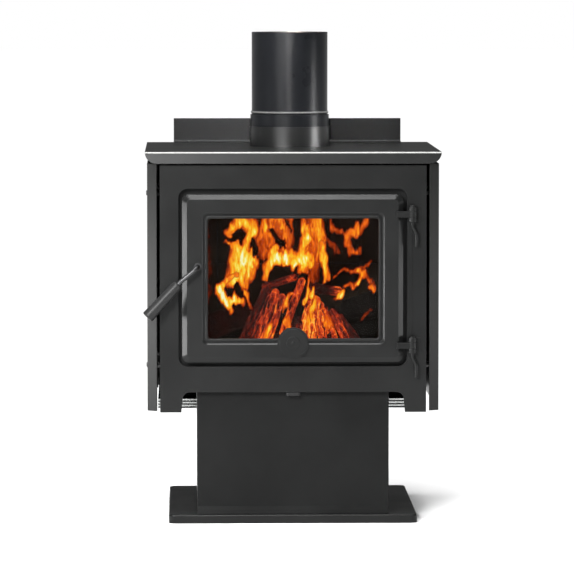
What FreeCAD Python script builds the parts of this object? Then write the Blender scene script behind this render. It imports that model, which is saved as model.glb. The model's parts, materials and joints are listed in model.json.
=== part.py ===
import FreeCAD, Part
import math
import os

Vector = FreeCAD.Vector
X_AXIS = Vector(1, 0, 0)
Y_AXIS = Vector(0, 1, 0)
Z_AXIS = Vector(0, 0, 1)
ORIGIN = Vector(0, 0, 0)

# A freestanding wood stove on a pedestal, made of separate sheets, plates, castings and bricks.
# X runs to the right, Y to the back and Z up.
# The origin is on the floor, at the middle of the base plate. All sizes are in millimetres.

# Base and pedestal
BASE_HALF = 265.0
BASE_HEIGHT = 18.5
BASE_SKIN = 3.0
BASE_PAN_SHEET = 2.5
PEDESTAL_HALF = 204.5
PEDESTAL_FRONT_Y = -245.0
PEDESTAL_REAR_Y = 200.0
PEDESTAL_SHEET = 2.5
PEDESTAL_FLANGE = 26.0
TOE_DEPTH = 4.0
TOE_HEIGHT = 17.0
FOOT_BOLT_PLACES = [(x, y) for x in (-190.0, 190.0) for y in (-160.0, 0.0, 150.0)]
FOOT_BOLT_RADIUS = 4.0
FOOT_HOLE_RADIUS = 4.5
FOOT_BOLT_HEAD = 7.5

# Firebox, a box of welded plates
FIREBOX_HALF = 268.0
FIREBOX_PLATE = 5.0
FIREBOX_FLOOR_Z = 290.0
FIREBOX_TOP_Z = 750.0
FACE_FRONT_Y = -245.0
FACE_PLATE = 6.0
FACE_REAR_Y = FACE_FRONT_Y + FACE_PLATE
FIREBOX_REAR_Y = 240.0
OPENING_HALF = 212.5
OPENING_BOTTOM_Z = 367.0
OPENING_TOP_Z = 682.0

# Outer front with its two legs
FRONT_Y = -265.0
FRONT_PLATE = 6.0
FRONT_HALF = 283.0
FRONT_TOP_Z = 764.0
FRONT_BOTTOM_Z = 238.0
APRON_Z = 281.0
APRON_HALF = 234.0
LEG_FLARE = 4.0
RECESS_LEFT_X = -243.5
RECESS_RIGHT_X = 242.0
RECESS_BOTTOM_Z = 336.0
RECESS_TOP_Z = 714.0
RECESS_RADIUS = 20.0
APRON_CORNER_RADIUS = 16.0

# Top plate and the lip at its back
TOP_Z = 792.5
TOP_PLATE = 5.0
TOP_HALF = 314.5
TOP_FRONT_Y = -277.0
TOP_REAR_Y = 278.0
TOP_LIP = 24.5
TOP_LIP_LEAN = 5.0
REAR_LIP_HALF = 254.5
REAR_LIP_Z = 846.0
REAR_LIP_SHEET = 2.0
REAR_LIP_FOLD_RADIUS = 6.0
REAR_LIP_FOOT_Y = 258.0
REAR_LIP_SCREW_Y = 265.0
REAR_LIP_SCREW_PLACES = (-220.0, 0.0, 220.0)

# Heat shields
SHIELD_OUTER_X = 310.0
SHIELD_SHEET = 2.0
SHIELD_GAP = SHIELD_OUTER_X - SHIELD_SHEET - FIREBOX_HALF
SHIELD_BOTTOM_Z = 241.0
SHIELD_TOP_Z = 767.0
SHIELD_REAR_Y = 262.0
RETURN_WIDTH = 20.0
RETURN_DEPTH = 11.5
REAR_SHIELD_Y = FIREBOX_REAR_Y + SHIELD_GAP
REAR_SHIELD_SHEET = 1.5
REAR_SHIELD_HALF = 306.0
REAR_SHIELD_RETURN = 15.0
REAR_SHIELD_BOTTOM_Z = 245.0
SPACER_RADIUS = 6.0
SHIELD_SCREW_RADIUS = 2.9
SHIELD_SCREW_HEAD = 5.5
SHIELD_SCREW_LENGTH = 26.0
SHIELD_ROWS_Z = (330.0, 700.0)
BOTTOM_SHIELD_Z = 257.0
BOTTOM_SHIELD_FRONT_Y = -165.0
BOTTOM_SHIELD_REAR_Y = 250.0
BOTTOM_SHIELD_SHEET = 1.2
RIB_COUNT = 6
RIB_PITCH = 3.2
RIB_DEPTH = 1.6

# Flue
FLUE_Y = 55.0
FLUE_BORE = 76.2
LINER_RADIUS = 77.0
COLLAR_BORE = 77.8
COLLAR_RADIUS = 87.5
COLLAR_TOP_Z = 836.0
ADAPTER_RADIUS = 86.0
ADAPTER_TOP_Z = 862.0
PIPE_RADIUS = 83.0
PIPE_SHEET = 0.8
PIPE_TOP_Z = 1042.0
LINER_BOTTOM_Z = 790.0
BEAD_Z = 867.0
BEAD_HEIGHT = 2.6

# Firebox lining
BRICK = 32.0
BRICK_JOINT = 1.0
BRICK_FRONT_Y = -213.0
BRICK_REAR_Y = FIREBOX_REAR_Y - FIREBOX_PLATE - BRICK
BRICK_FLOOR_Z = FIREBOX_FLOOR_Z + FIREBOX_PLATE
BRICK_SPLIT_Z = BRICK_FLOOR_Z + 228.0
BRICK_TOP_Z = 655.0
BRICK_WALL_X = FIREBOX_HALF - FIREBOX_PLATE - BRICK
TUBE_Z = 673.0
TUBE_RADIUS = 12.5
TUBE_BORE = 10.5
TUBE_PLACES_Y = (-170.0, -60.0, 50.0, 160.0)
JET_COUNT = 17
JET_PITCH = 25.0
JET_FIRST_X = -200.0
MANIFOLD_TOP_Z = 690.0
MANIFOLD_WALL = 3.0
BAFFLE_FRONT_Y = -185.0
BAFFLE_THICKNESS = 25.0

# Primary air under the firebox floor
AIR_BOX_HALF = 75.0
AIR_BOX_FRONT_Y = -238.0
AIR_BOX_REAR_Y = -120.0
AIR_BOX_BOTTOM_Z = 262.0
AIR_BOX_SHEET = 2.0
AIR_SLOT_FRONT_Y = -190.0
AIR_SLOT_REAR_Y = -155.0
AIR_SLOT_HALF = 40.0
FLOOR_SLOT_HALF = 60.0
AIR_BAR_BOTTOM_Z = 275.5
AIR_BAR_TOP_Z = 278.5
AIR_BAR_HALF = 6.0
AIR_BAR_FRONT_Y = -254.0
AIR_TAB_FRONT_Y = -263.0
AIR_TAB_HALF = 15.0

# Door, which stands in the recess of the outer front
DOOR_LEFT_X = -236.0
DOOR_RIGHT_X = 233.5
DOOR_BOTTOM_Z = 345.0
DOOR_TOP_Z = 702.0
DOOR_BACK_Y = -246.0
DOOR_EDGE_Y = -267.5
DOOR_FACE_Y = -275.0
DOOR_BEVEL = 10.5
DOOR_RADIUS = 14.0
GASKET_HALF_WIDTH = 4.5
GASKET_DEPTH = 9.0
GASKET_X = OPENING_HALF + 1.5 + GASKET_HALF_WIDTH
GASKET_BOTTOM_Z = OPENING_BOTTOM_Z - 1.5 - GASKET_HALF_WIDTH
GASKET_TOP_Z = OPENING_TOP_Z + 1.5 + GASKET_HALF_WIDTH

# Window
WINDOW_HALF = 181.0
WINDOW_BOTTOM_Z = 396.0
WINDOW_TOP_Z = 651.0
WINDOW_RADIUS = 6.0
GLASS_OVERLAP = 11.0
GLASS = 5.0
GLASS_TAPE = 2.0
GLASS_FRONT_Y = -266.0
RETAINER_X = 110.0
RETAINER_HALF_WIDTH = 14.0
RETAINER_SHEET = 2.0
RETAINER_SCREW_REACH = 17.5
# Each clip's place across, the window edge it stands at, and its way from there: up is 1 and down is -1.
RETAINER_PLACES = (
    (-RETAINER_X, WINDOW_TOP_Z, 1), (RETAINER_X, WINDOW_TOP_Z, 1),
    (-RETAINER_X, WINDOW_BOTTOM_Z, -1), (RETAINER_X, WINDOW_BOTTOM_Z, -1),
)
# A shallow rebate with sloping sides frames the window, and the trim bead stands in it
REBATE_WIDTH = 13.0
REBATE_SLOPE = 4.5
REBATE_DEPTH = 3.5
TRIM_WIDTH = 6.0
TRIM_HEIGHT = 3.0
MEDALLION_Z = 386.5
# The boss's steps, as (radius, height above the door's face)
MEDALLION_STEPS = ((33.4, 4.5), (29.4, 5.7), (14.0, 6.9), (3.5, 8.1))

# Hinge
HINGE_X = 253.0
HINGE_Y = -276.0
HINGE_PIN_RADIUS = 4.0
HINGE_CLEARANCE = 0.08
KNUCKLE_RADIUS = 9.0
HINGE_PLACES_Z = (660.0, 381.0)
LUG_HEIGHT = 13.0
LUG_THICKNESS = 8.0
KNUCKLE_HEIGHT = 9.0
KNUCKLE_GAP = 0.6
HINGE_STRAP = 1.6
PIN_TAIL_OFFSET = 8.5

# Latch and handle
LATCH_X = -203.0
LATCH_Z = 549.0
SHAFT_RADIUS = 5.0
SHAFT_CLEARANCE = 0.08
BUSHING_RADIUS = 8.0
BUSHING_SLEEVE = 7.0
BUSHING_FLANGE = 2.5
HANDLE_Y = -301.0
ELBOW_RADIUS = 12.0
ROD_ANGLE = 219.5
ROD_LENGTH = 36.0
GRIP_ANGLE = 227.0
GRIP_LENGTH = 96.0
GRIP_START_RADIUS = 10.5
GRIP_END_RADIUS = 13.5
CAM_LENGTH = 34.0
CAM_HALF_WIDTH = 6.0
CAM_FRONT_Y = -236.5
CAM_THICKNESS = 5.0
CAM_EYE_RADIUS = 7.5
NUT_THICKNESS = 5.0


def box(x0, x1, y0, y1, z0, z1):
    """A block between two opposite corners."""
    return Part.makeBox(x1 - x0, y1 - y0, z1 - z0, Vector(x0, y0, z0))


def cylinder(radius, start, direction, length):
    """A round bar from a point along a direction."""
    return Part.makeCylinder(radius, length, start, direction)


def tube(outer, inner, z0, z1):
    """An upright pipe on the flue's axis."""
    foot = Vector(0, FLUE_Y, z0)
    wall = cylinder(outer, foot, Z_AXIS, z1 - z0)
    return wall.cut(cylinder(inner, foot, Z_AXIS, z1 - z0))


def mirrored(shape):
    """The same shape on the other side of the stove."""
    return shape.mirror(ORIGIN, X_AXIS)


def fused(shapes):
    """One solid out of shapes that overlap or touch."""
    return shapes[0].multiFuse(shapes[1:]).removeSplitter()


def rounded_block(x0, x1, y0, y1, z0, z1, radius, direction):
    """A block whose four edges along a direction are rounded."""
    block = box(x0, x1, y0, y1, z0, z1)
    return block.makeFillet(radius, edges_along(block, direction))


def edges_along(shape, direction):
    """The straight edges of a shape that run along a direction."""
    found = []
    for edge in shape.Edges:
        if len(edge.Vertexes) < 2:
            continue
        run = edge.Vertexes[1].Point - edge.Vertexes[0].Point
        if run.Length > 0 and run.cross(direction).Length < 1e-6 * run.Length:
            found.append(edge)
    return found


def panel(x0, x1, z0, z1, y0, y1, radius):
    """An upright panel with rounded corners, facing the front."""
    return rounded_block(x0, x1, y0, y1, z0, z1, radius, Y_AXIS)


def frame_ring(x0, x1, z0, z1, width, y0, y1, outer_radius, inner_radius):
    """An upright rectangular frame whose bars have one width."""
    outer = panel(x0, x1, z0, z1, y0, y1, outer_radius)
    inner = panel(x0 + width, x1 - width, z0 + width, z1 - width, y0, y1, inner_radius)
    return outer.cut(inner)


def sheet_outline(points, thickness):
    """The closed outline of a folded sheet: a line of points and its copy one thickness to the left."""
    sides = []
    for (u0, v0), (u1, v1) in zip(points, points[1:]):
        length = math.hypot(u1 - u0, v1 - v0)
        sides.append(((v0 - v1) / length, (u1 - u0) / length))
    copy = []
    for index, (u, v) in enumerate(points):
        before = sides[max(index - 1, 0)]
        after = sides[min(index, len(sides) - 1)]
        reach = thickness / (1 + before[0] * after[0] + before[1] * after[1])
        copy.append((u + reach * (before[0] + after[0]), v + reach * (before[1] + after[1])))
    return points + copy[::-1]


def prism(corners, run):
    """A flat outline pushed along a vector."""
    return Part.Face(Part.makePolygon(corners + [corners[0]])).extrude(run)


def sheet_along_x(points, thickness, x0, x1):
    """A folded sheet whose side view (Y, Z) runs through the points."""
    corners = [Vector(x0, y, z) for y, z in sheet_outline(points, thickness)]
    return prism(corners, Vector(x1 - x0, 0, 0))


def sheet_along_y(points, thickness, y0, y1):
    """A folded sheet whose front view (X, Z) runs through the points."""
    corners = [Vector(x, y0, z) for x, z in sheet_outline(points, thickness)]
    return prism(corners, Vector(0, y1 - y0, 0))


def sheet_upright(points, thickness, z0, z1):
    """A folded sheet whose plan (X, Y) runs through the points."""
    corners = [Vector(x, y, z0) for x, y in sheet_outline(points, thickness)]
    return prism(corners, Vector(0, 0, z1 - z0))


def bolt(place, direction, shank_radius, shank_length, head_radius, head_height):
    """A bolt with a six-sided head. The place is under the head and the direction is the shank's."""
    shank = cylinder(shank_radius, place, direction, shank_length)
    side = X_AXIS if abs(direction.z) > 0.5 else Z_AXIS
    other = direction.cross(side)
    corners = []
    for step in range(6):
        turn = math.radians(60 * step)
        corners.append(place + (side * math.cos(turn) + other * math.sin(turn)) * head_radius)
    return shank.fuse(prism(corners, direction * -head_height)).removeSplitter()


def round_head_screw(place, direction, shank_radius, shank_length, head_radius, head_height):
    """A screw with a domed head. The place is under the head and the direction is the shank's."""
    shank = cylinder(shank_radius, place, direction, shank_length)
    head = cylinder(head_radius, place, direction * -1, head_height)
    rim = [edge for edge in head.Edges if (edge.BoundBox.Center - place).Length > 0.9 * head_height]
    return shank.fuse(head.makeFillet(0.6 * head_height, rim[:1])).removeSplitter()


# ---- base and pedestal ----

def upright_holes(z0, z1):
    """The six bolt holes that the pedestal's flanges share with what they sit against."""
    holes = [cylinder(FOOT_HOLE_RADIUS, Vector(x, y, z0), Z_AXIS, z1 - z0) for x, y in FOOT_BOLT_PLACES]
    return Part.makeCompound(holes)


def base_plate():
    half = BASE_HALF
    tray = rounded_block(-half, half, -half, half, 0, BASE_HEIGHT, 12, Z_AXIS)
    rim = [edge for edge in tray.Edges if abs(edge.BoundBox.ZMin - BASE_HEIGHT) < 1e-6]
    tray = tray.makeFillet(3.5, rim)
    inner = half - BASE_SKIN
    hollow = rounded_block(-inner, inner, -inner, inner, -1, BASE_HEIGHT - BASE_SKIN, 9, Z_AXIS)
    return tray.cut(hollow).cut(upright_holes(BASE_HEIGHT - BASE_SKIN - 1, BASE_HEIGHT + 1))


def base_pan():
    """The flat sheet that closes the base plate from below and rests on the floor."""
    half = BASE_HALF - BASE_SKIN
    return rounded_block(-half, half, -half, half, 0, BASE_PAN_SHEET, 9, Z_AXIS)


def pedestal_front():
    bend_z = BASE_HEIGHT + TOE_HEIGHT
    toe_y = PEDESTAL_FRONT_Y - TOE_DEPTH
    side_view = [
        (PEDESTAL_FRONT_Y, FIREBOX_FLOOR_Z),
        (PEDESTAL_FRONT_Y, bend_z),
        (toe_y, BASE_HEIGHT),
    ]
    face = sheet_along_x(side_view, PEDESTAL_SHEET, -PEDESTAL_HALF, PEDESTAL_HALF)
    toe_foot = box(-PEDESTAL_HALF, PEDESTAL_HALF, toe_y - 5, 0, BASE_HEIGHT - 5, BASE_HEIGHT)
    flange_half = PEDESTAL_HALF - PEDESTAL_FLANGE - 2.0
    flange_rear = PEDESTAL_FRONT_Y + PEDESTAL_SHEET + 3.0
    flange = box(
        -flange_half, flange_half, PEDESTAL_FRONT_Y, flange_rear,
        FIREBOX_FLOOR_Z - PEDESTAL_SHEET, FIREBOX_FLOOR_Z,
    )
    slot_half = AIR_BAR_HALF + 1
    slot = box(
        -slot_half, slot_half, PEDESTAL_FRONT_Y - 5, PEDESTAL_FRONT_Y + 5,
        AIR_BAR_BOTTOM_Z - 1, AIR_BAR_TOP_Z + 1,
    )
    return fused([face.cut(toe_foot), flange]).cut(slot)


def pedestal_side():
    inner = PEDESTAL_HALF - PEDESTAL_FLANGE
    front_view = [
        (inner, BASE_HEIGHT),
        (PEDESTAL_HALF, BASE_HEIGHT),
        (PEDESTAL_HALF, FIREBOX_FLOOR_Z),
        (inner, FIREBOX_FLOOR_Z),
    ]
    front_y = PEDESTAL_FRONT_Y + PEDESTAL_SHEET
    side = sheet_along_y(front_view, PEDESTAL_SHEET, front_y, PEDESTAL_REAR_Y)
    side = side.cut(upright_holes(BASE_HEIGHT - 1, BASE_HEIGHT + PEDESTAL_SHEET + 1))
    return side.cut(upright_holes(FIREBOX_FLOOR_Z - PEDESTAL_SHEET - 1, FIREBOX_FLOOR_Z + 1))


def pedestal_bolts():
    foot_z = BASE_HEIGHT + PEDESTAL_SHEET
    head_z = FIREBOX_FLOOR_Z - PEDESTAL_SHEET
    bolts = []
    for x, y in FOOT_BOLT_PLACES:
        bolts.append(bolt(Vector(x, y, foot_z), Z_AXIS * -1, FOOT_BOLT_RADIUS, 14, FOOT_BOLT_HEAD, 5))
        bolts.append(bolt(Vector(x, y, head_z), Z_AXIS, FOOT_BOLT_RADIUS, 7, FOOT_BOLT_HEAD, 5))
    return Part.makeCompound(bolts)


# ---- firebox ----


def firebox_floor():
    top_z = FIREBOX_FLOOR_Z + FIREBOX_PLATE
    floor = box(-FIREBOX_HALF, FIREBOX_HALF, FACE_REAR_Y, FIREBOX_REAR_Y, FIREBOX_FLOOR_Z, top_z)
    air_slot = box(
        -FLOOR_SLOT_HALF, FLOOR_SLOT_HALF, FACE_REAR_Y + 5, BRICK_FRONT_Y - 6,
        FIREBOX_FLOOR_Z - 1, top_z + 1,
    )
    return floor.cut(air_slot).cut(upright_holes(FIREBOX_FLOOR_Z - 1, top_z + 1))


def shield_screw_places():
    """Where the side shields are screwed on, as (Y, Z)."""
    return [(y, z) for y in (-150.0, 150.0) for z in SHIELD_ROWS_Z]


def firebox_side():
    inner = FIREBOX_HALF - FIREBOX_PLATE
    bottom_z = FIREBOX_FLOOR_Z + FIREBOX_PLATE
    return box(inner, FIREBOX_HALF, FACE_REAR_Y, FIREBOX_REAR_Y, bottom_z, TOP_Z - TOP_PLATE)


def firebox_rear():
    half = FIREBOX_HALF - FIREBOX_PLATE
    bottom_z = FIREBOX_FLOOR_Z + FIREBOX_PLATE
    return box(-half, half, FIREBOX_REAR_Y - FIREBOX_PLATE, FIREBOX_REAR_Y, bottom_z, TOP_Z - TOP_PLATE)


def firebox_roof():
    half = FIREBOX_HALF - FIREBOX_PLATE
    rear_y = FIREBOX_REAR_Y - FIREBOX_PLATE
    roof = box(-half, half, FACE_REAR_Y, rear_y, FIREBOX_TOP_Z, FIREBOX_TOP_Z + FIREBOX_PLATE)
    return roof.cut(cylinder(FLUE_BORE, Vector(0, FLUE_Y, FIREBOX_TOP_Z - 1), Z_AXIS, FIREBOX_PLATE + 2))


def firebox_face():
    plate = box(-FIREBOX_HALF, FIREBOX_HALF, FACE_FRONT_Y, FACE_REAR_Y, FIREBOX_FLOOR_Z, FRONT_TOP_Z)
    opening = panel(
        -OPENING_HALF, OPENING_HALF, OPENING_BOTTOM_Z, OPENING_TOP_Z,
        FACE_FRONT_Y - 1, FACE_REAR_Y + 1, 8,
    )
    return plate.cut(opening)


def front_plate():
    plate = box(-FRONT_HALF, FRONT_HALF, FRONT_Y, FRONT_Y + FRONT_PLATE, FRONT_BOTTOM_Z, FRONT_TOP_Z)
    recess = panel(
        RECESS_LEFT_X, RECESS_RIGHT_X, RECESS_BOTTOM_Z, RECESS_TOP_Z,
        FRONT_Y - 1, FRONT_Y + FRONT_PLATE + 1, RECESS_RADIUS,
    )
    flared = APRON_HALF + LEG_FLARE
    outline = [
        Vector(-flared, FRONT_Y - 1, FRONT_BOTTOM_Z - 1),
        Vector(-APRON_HALF, FRONT_Y - 1, APRON_Z),
        Vector(APRON_HALF, FRONT_Y - 1, APRON_Z),
        Vector(flared, FRONT_Y - 1, FRONT_BOTTOM_Z - 1),
    ]
    cut_out = prism(outline, Vector(0, FRONT_PLATE + 2, 0))
    corners = [
        edge for edge in edges_along(cut_out, Y_AXIS) if abs(edge.BoundBox.ZMin - APRON_Z) < 1e-6
    ]
    return plate.cut(recess).cut(cut_out.makeFillet(APRON_CORNER_RADIUS, corners))


def front_spacers():
    gap = FACE_FRONT_Y - FRONT_Y - FRONT_PLATE
    places = [(x, z) for x in (-256.0, 256.0) for z in (310.0, 525.0, 740.0)]
    spacers = [
        cylinder(5, Vector(x, FRONT_Y + FRONT_PLATE, z), Y_AXIS, gap) for x, z in places
    ]
    return Part.makeCompound(spacers)


# ---- top plate and rear lip ----


def top_plate():
    side_view = [
        (TOP_FRONT_Y - TOP_LIP_LEAN, TOP_Z - TOP_LIP),
        (TOP_FRONT_Y, TOP_Z),
        (TOP_REAR_Y, TOP_Z),
    ]
    # The sheet lies to the right of this line, so its thickness is negative.
    plate = sheet_along_x(side_view, -TOP_PLATE, -TOP_HALF, TOP_HALF)
    bend = [
        edge for edge in edges_along(plate, X_AXIS)
        if abs(edge.BoundBox.ZMin - TOP_Z) < 1e-6 and edge.BoundBox.YMax < 0
    ]
    plate = plate.makeFillet(4, bend)
    corner_x = TOP_HALF - TOP_LIP
    low_y = TOP_FRONT_Y - 20
    depth = TOP_REAR_Y - low_y + 10
    middle = box(-corner_x, corner_x, low_y, low_y + depth, TOP_Z - TOP_LIP - 1, TOP_Z)
    ends = [cylinder(TOP_LIP, Vector(x, low_y, TOP_Z), Y_AXIS, depth) for x in (-corner_x, corner_x)]
    flue_hole = cylinder(COLLAR_RADIUS + 1.5, Vector(0, FLUE_Y, TOP_Z - 10), Z_AXIS, 20)
    plate = plate.common(fused([middle] + ends)).cut(flue_hole)
    return plate.cut(rear_lip_holes())


def rear_lip_holes():
    foot_z = TOP_Z - 12
    places = [Vector(x, REAR_LIP_SCREW_Y, foot_z) for x in REAR_LIP_SCREW_PLACES]
    return Part.makeCompound([cylinder(2.6, place, Z_AXIS, 20) for place in places])


def rear_lip():
    side_view = [(REAR_LIP_FOOT_Y, TOP_Z), (TOP_REAR_Y, TOP_Z), (TOP_REAR_Y, REAR_LIP_Z)]
    lip = sheet_along_x(side_view, REAR_LIP_SHEET, -REAR_LIP_HALF, REAR_LIP_HALF)
    # The inside of the fold has a radius smaller than the outside's by the sheet's thickness.
    inside = (TOP_Z + REAR_LIP_SHEET, REAR_LIP_FOLD_RADIUS - REAR_LIP_SHEET)
    outside = (TOP_Z, REAR_LIP_FOLD_RADIUS)
    for fold_z, radius in (inside, outside):
        fold = [
            edge for edge in edges_along(lip, X_AXIS)
            if abs(edge.BoundBox.ZMin - fold_z) < 1e-6 and edge.BoundBox.YMin > TOP_REAR_Y - 3
        ]
        lip = lip.makeFillet(radius, fold)
    return lip.cut(rear_lip_holes())


def rear_lip_screws():
    head_z = TOP_Z + REAR_LIP_SHEET
    places = [Vector(x, REAR_LIP_SCREW_Y, head_z) for x in REAR_LIP_SCREW_PLACES]
    return [round_head_screw(place, Z_AXIS * -1, 2.4, 9, 4.5, 2.2) for place in places]


# ---- heat shields ----


def side_shield():
    plan = [
        (SHIELD_OUTER_X - RETURN_WIDTH, FRONT_Y),
        (SHIELD_OUTER_X, FRONT_Y + RETURN_DEPTH),
        (SHIELD_OUTER_X, SHIELD_REAR_Y),
        (SHIELD_OUTER_X - RETURN_WIDTH, SHIELD_REAR_Y),
    ]
    shield = sheet_upright(plan, SHIELD_SHEET, SHIELD_BOTTOM_Z, SHIELD_TOP_Z)
    holes = [
        cylinder(SHIELD_SCREW_RADIUS + 0.4, Vector(SHIELD_OUTER_X - 10, y, z), X_AXIS, 20)
        for y, z in shield_screw_places()
    ]
    return shield.cut(Part.makeCompound(holes))


def rear_shield_places():
    """Where the rear shield is screwed on, as (X, Z)."""
    return [(x, z) for x in (-180.0, 180.0) for z in SHIELD_ROWS_Z]


def rear_heat_shield():
    """The sheet behind the firebox. It reaches behind the side shields, so no gap shows from the front."""
    rear_y = REAR_SHIELD_Y + REAR_SHIELD_SHEET
    front_y = rear_y - REAR_SHIELD_RETURN
    plan = [
        (REAR_SHIELD_HALF, front_y),
        (REAR_SHIELD_HALF, rear_y),
        (-REAR_SHIELD_HALF, rear_y),
        (-REAR_SHIELD_HALF, front_y),
    ]
    shield = sheet_upright(plan, REAR_SHIELD_SHEET, REAR_SHIELD_BOTTOM_Z, TOP_Z - TOP_PLATE - 2)
    holes = [
        cylinder(SHIELD_SCREW_RADIUS + 0.4, Vector(x, REAR_SHIELD_Y - 5, z), Y_AXIS, 12)
        for x, z in rear_shield_places()
    ]
    return shield.cut(Part.makeCompound(holes))


def hollow_spacer(place, direction):
    """A round spacer as long as the air gap, drilled for its screw."""
    body = cylinder(SPACER_RADIUS, place, direction, SHIELD_GAP)
    return body.cut(cylinder(SHIELD_SCREW_RADIUS + 0.1, place, direction, SHIELD_GAP))


def shield_spacers():
    spacers = []
    for y, z in shield_screw_places():
        spacers.append(hollow_spacer(Vector(FIREBOX_HALF, y, z), X_AXIS))
        spacers.append(hollow_spacer(Vector(-FIREBOX_HALF, y, z), X_AXIS * -1))
    for x, z in rear_shield_places():
        spacers.append(hollow_spacer(Vector(x, FIREBOX_REAR_Y, z), Y_AXIS))
    return Part.makeCompound(spacers + bottom_spacers())


def shield_screw(place, direction):
    length = SHIELD_SCREW_LENGTH
    return round_head_screw(place, direction, SHIELD_SCREW_RADIUS, length, SHIELD_SCREW_HEAD, 3)


def sheet_screws():
    """The screws of the side shields, the rear shield and the rear lip."""
    screws = rear_lip_screws()
    for y, z in shield_screw_places():
        for side in (-1, 1):
            screws.append(shield_screw(Vector(side * SHIELD_OUTER_X, y, z), X_AXIS * -side))
    for x, z in rear_shield_places():
        screws.append(shield_screw(Vector(x, REAR_SHIELD_Y + REAR_SHIELD_SHEET, z), Y_AXIS * -1))
    return Part.makeCompound(screws)


def bottom_shield():
    """A galvanised tray wing beside the pedestal. Its front lip is corrugated in level waves."""
    lip = [
        (BOTTOM_SHIELD_FRONT_Y + RIB_DEPTH * (step % 2), BOTTOM_SHIELD_Z - RIB_PITCH * (RIB_COUNT - step))
        for step in range(RIB_COUNT)
    ]
    side_view = lip + [(BOTTOM_SHIELD_FRONT_Y, BOTTOM_SHIELD_Z), (BOTTOM_SHIELD_REAR_Y, BOTTOM_SHIELD_Z)]
    inner_x = PEDESTAL_HALF + 0.5
    outer_x = SHIELD_OUTER_X - RETURN_WIDTH - 2
    return sheet_along_x(side_view, -BOTTOM_SHIELD_SHEET, inner_x, outer_x)


def bottom_spacers():
    """The four studs that hold the galvanised wings under the firebox."""
    gap = FIREBOX_FLOOR_Z - BOTTOM_SHIELD_Z
    places = [(x, y) for x in (-245.0, 245.0) for y in (-120.0, 190.0)]
    return [cylinder(SPACER_RADIUS, Vector(x, y, BOTTOM_SHIELD_Z), Z_AXIS, gap) for x, y in places]


# ---- flue ----


def flue_collar():
    return tube(COLLAR_RADIUS, COLLAR_BORE, FIREBOX_TOP_Z + FIREBOX_PLATE, COLLAR_TOP_Z)


def adapter_screw_turns():
    """The three ways the adapter's screws point, in degrees from X."""
    return (20.0, 90.0, 160.0)


def adapter_screw_holes(radius):
    z = (COLLAR_TOP_Z + ADAPTER_TOP_Z) / 2
    holes = []
    for turn in adapter_screw_turns():
        way = Vector(math.cos(math.radians(turn)), math.sin(math.radians(turn)), 0)
        holes.append(cylinder(radius, Vector(0, FLUE_Y, z) + way * 70, way, 25))
    return Part.makeCompound(holes)


def pipe_adapter():
    sleeve = tube(ADAPTER_RADIUS, ADAPTER_RADIUS - 1.2, COLLAR_TOP_Z, ADAPTER_TOP_Z)
    cover = tube(ADAPTER_RADIUS, LINER_RADIUS + 0.5, ADAPTER_TOP_Z - 1.2, ADAPTER_TOP_Z)
    return fused([sleeve, cover]).cut(adapter_screw_holes(2.3))


def pipe_outer():
    """The pipe's outer wall, with a rolled bead just above the adapter."""
    wall = tube(PIPE_RADIUS, PIPE_RADIUS - PIPE_SHEET, ADAPTER_TOP_Z, PIPE_TOP_Z)
    bead = Part.makeTorus(PIPE_RADIUS - 0.4, BEAD_HEIGHT, Vector(0, FLUE_Y, BEAD_Z), Z_AXIS)
    core = cylinder(PIPE_RADIUS - PIPE_SHEET, Vector(0, FLUE_Y, BEAD_Z - 10), Z_AXIS, 20)
    return wall.fuse(bead.cut(core)).removeSplitter()


def pipe_liner():
    return tube(LINER_RADIUS, FLUE_BORE, LINER_BOTTOM_Z, PIPE_TOP_Z).cut(adapter_screw_holes(2.3))


def pipe_screws():
    z = (COLLAR_TOP_Z + ADAPTER_TOP_Z) / 2
    screws = []
    for turn in adapter_screw_turns():
        way = Vector(math.cos(math.radians(turn)), math.sin(math.radians(turn)), 0)
        place = Vector(0, FLUE_Y, z) + way * ADAPTER_RADIUS
        screws.append(bolt(place, way * -1, 2.0, 9, 4.0, 2.6))
    return Part.makeCompound(screws)


# ---- firebox lining ----


def brick_row(start, end, count):
    """Where equal bricks begin and end along a wall, with joints between them."""
    width = (end - start - BRICK_JOINT * (count - 1)) / count
    firsts = [start + index * (width + BRICK_JOINT) for index in range(count)]
    return [(first, first + width) for first in firsts]


def brick_heights():
    return [(BRICK_FLOOR_Z, BRICK_SPLIT_Z), (BRICK_SPLIT_Z + BRICK_JOINT, BRICK_TOP_Z)]


def floor_bricks():
    half = BRICK_WALL_X - 1.0
    bricks = []
    for x0, x1 in brick_row(-half, half, 4):
        for y0, y1 in brick_row(BRICK_FRONT_Y, BRICK_REAR_Y - 1, 2):
            bricks.append(box(x0, x1, y0, y1, BRICK_FLOOR_Z, BRICK_FLOOR_Z + BRICK))
    return Part.makeCompound(bricks)


def side_bricks():
    outer = BRICK_WALL_X + BRICK
    bricks = []
    for y0, y1 in brick_row(BRICK_FRONT_Y, BRICK_REAR_Y - 1, 4):
        for z0, z1 in brick_heights():
            bricks.append(box(BRICK_WALL_X, outer, y0, y1, z0, z1))
    return Part.makeCompound(bricks)


def rear_bricks():
    half = BRICK_WALL_X + BRICK - 0.5
    bricks = []
    for x0, x1 in brick_row(-half, half, 5):
        for z0, z1 in brick_heights():
            bricks.append(box(x0, x1, BRICK_REAR_Y, BRICK_REAR_Y + BRICK, z0, z1))
    return Part.makeCompound(bricks)


def ember_guard():
    half = FIREBOX_HALF - FIREBOX_PLATE - 1
    guard_y = BRICK_FRONT_Y - 4
    return box(-half, half, guard_y, guard_y + 3, BRICK_FLOOR_Z, BRICK_FLOOR_Z + 56)


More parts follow.
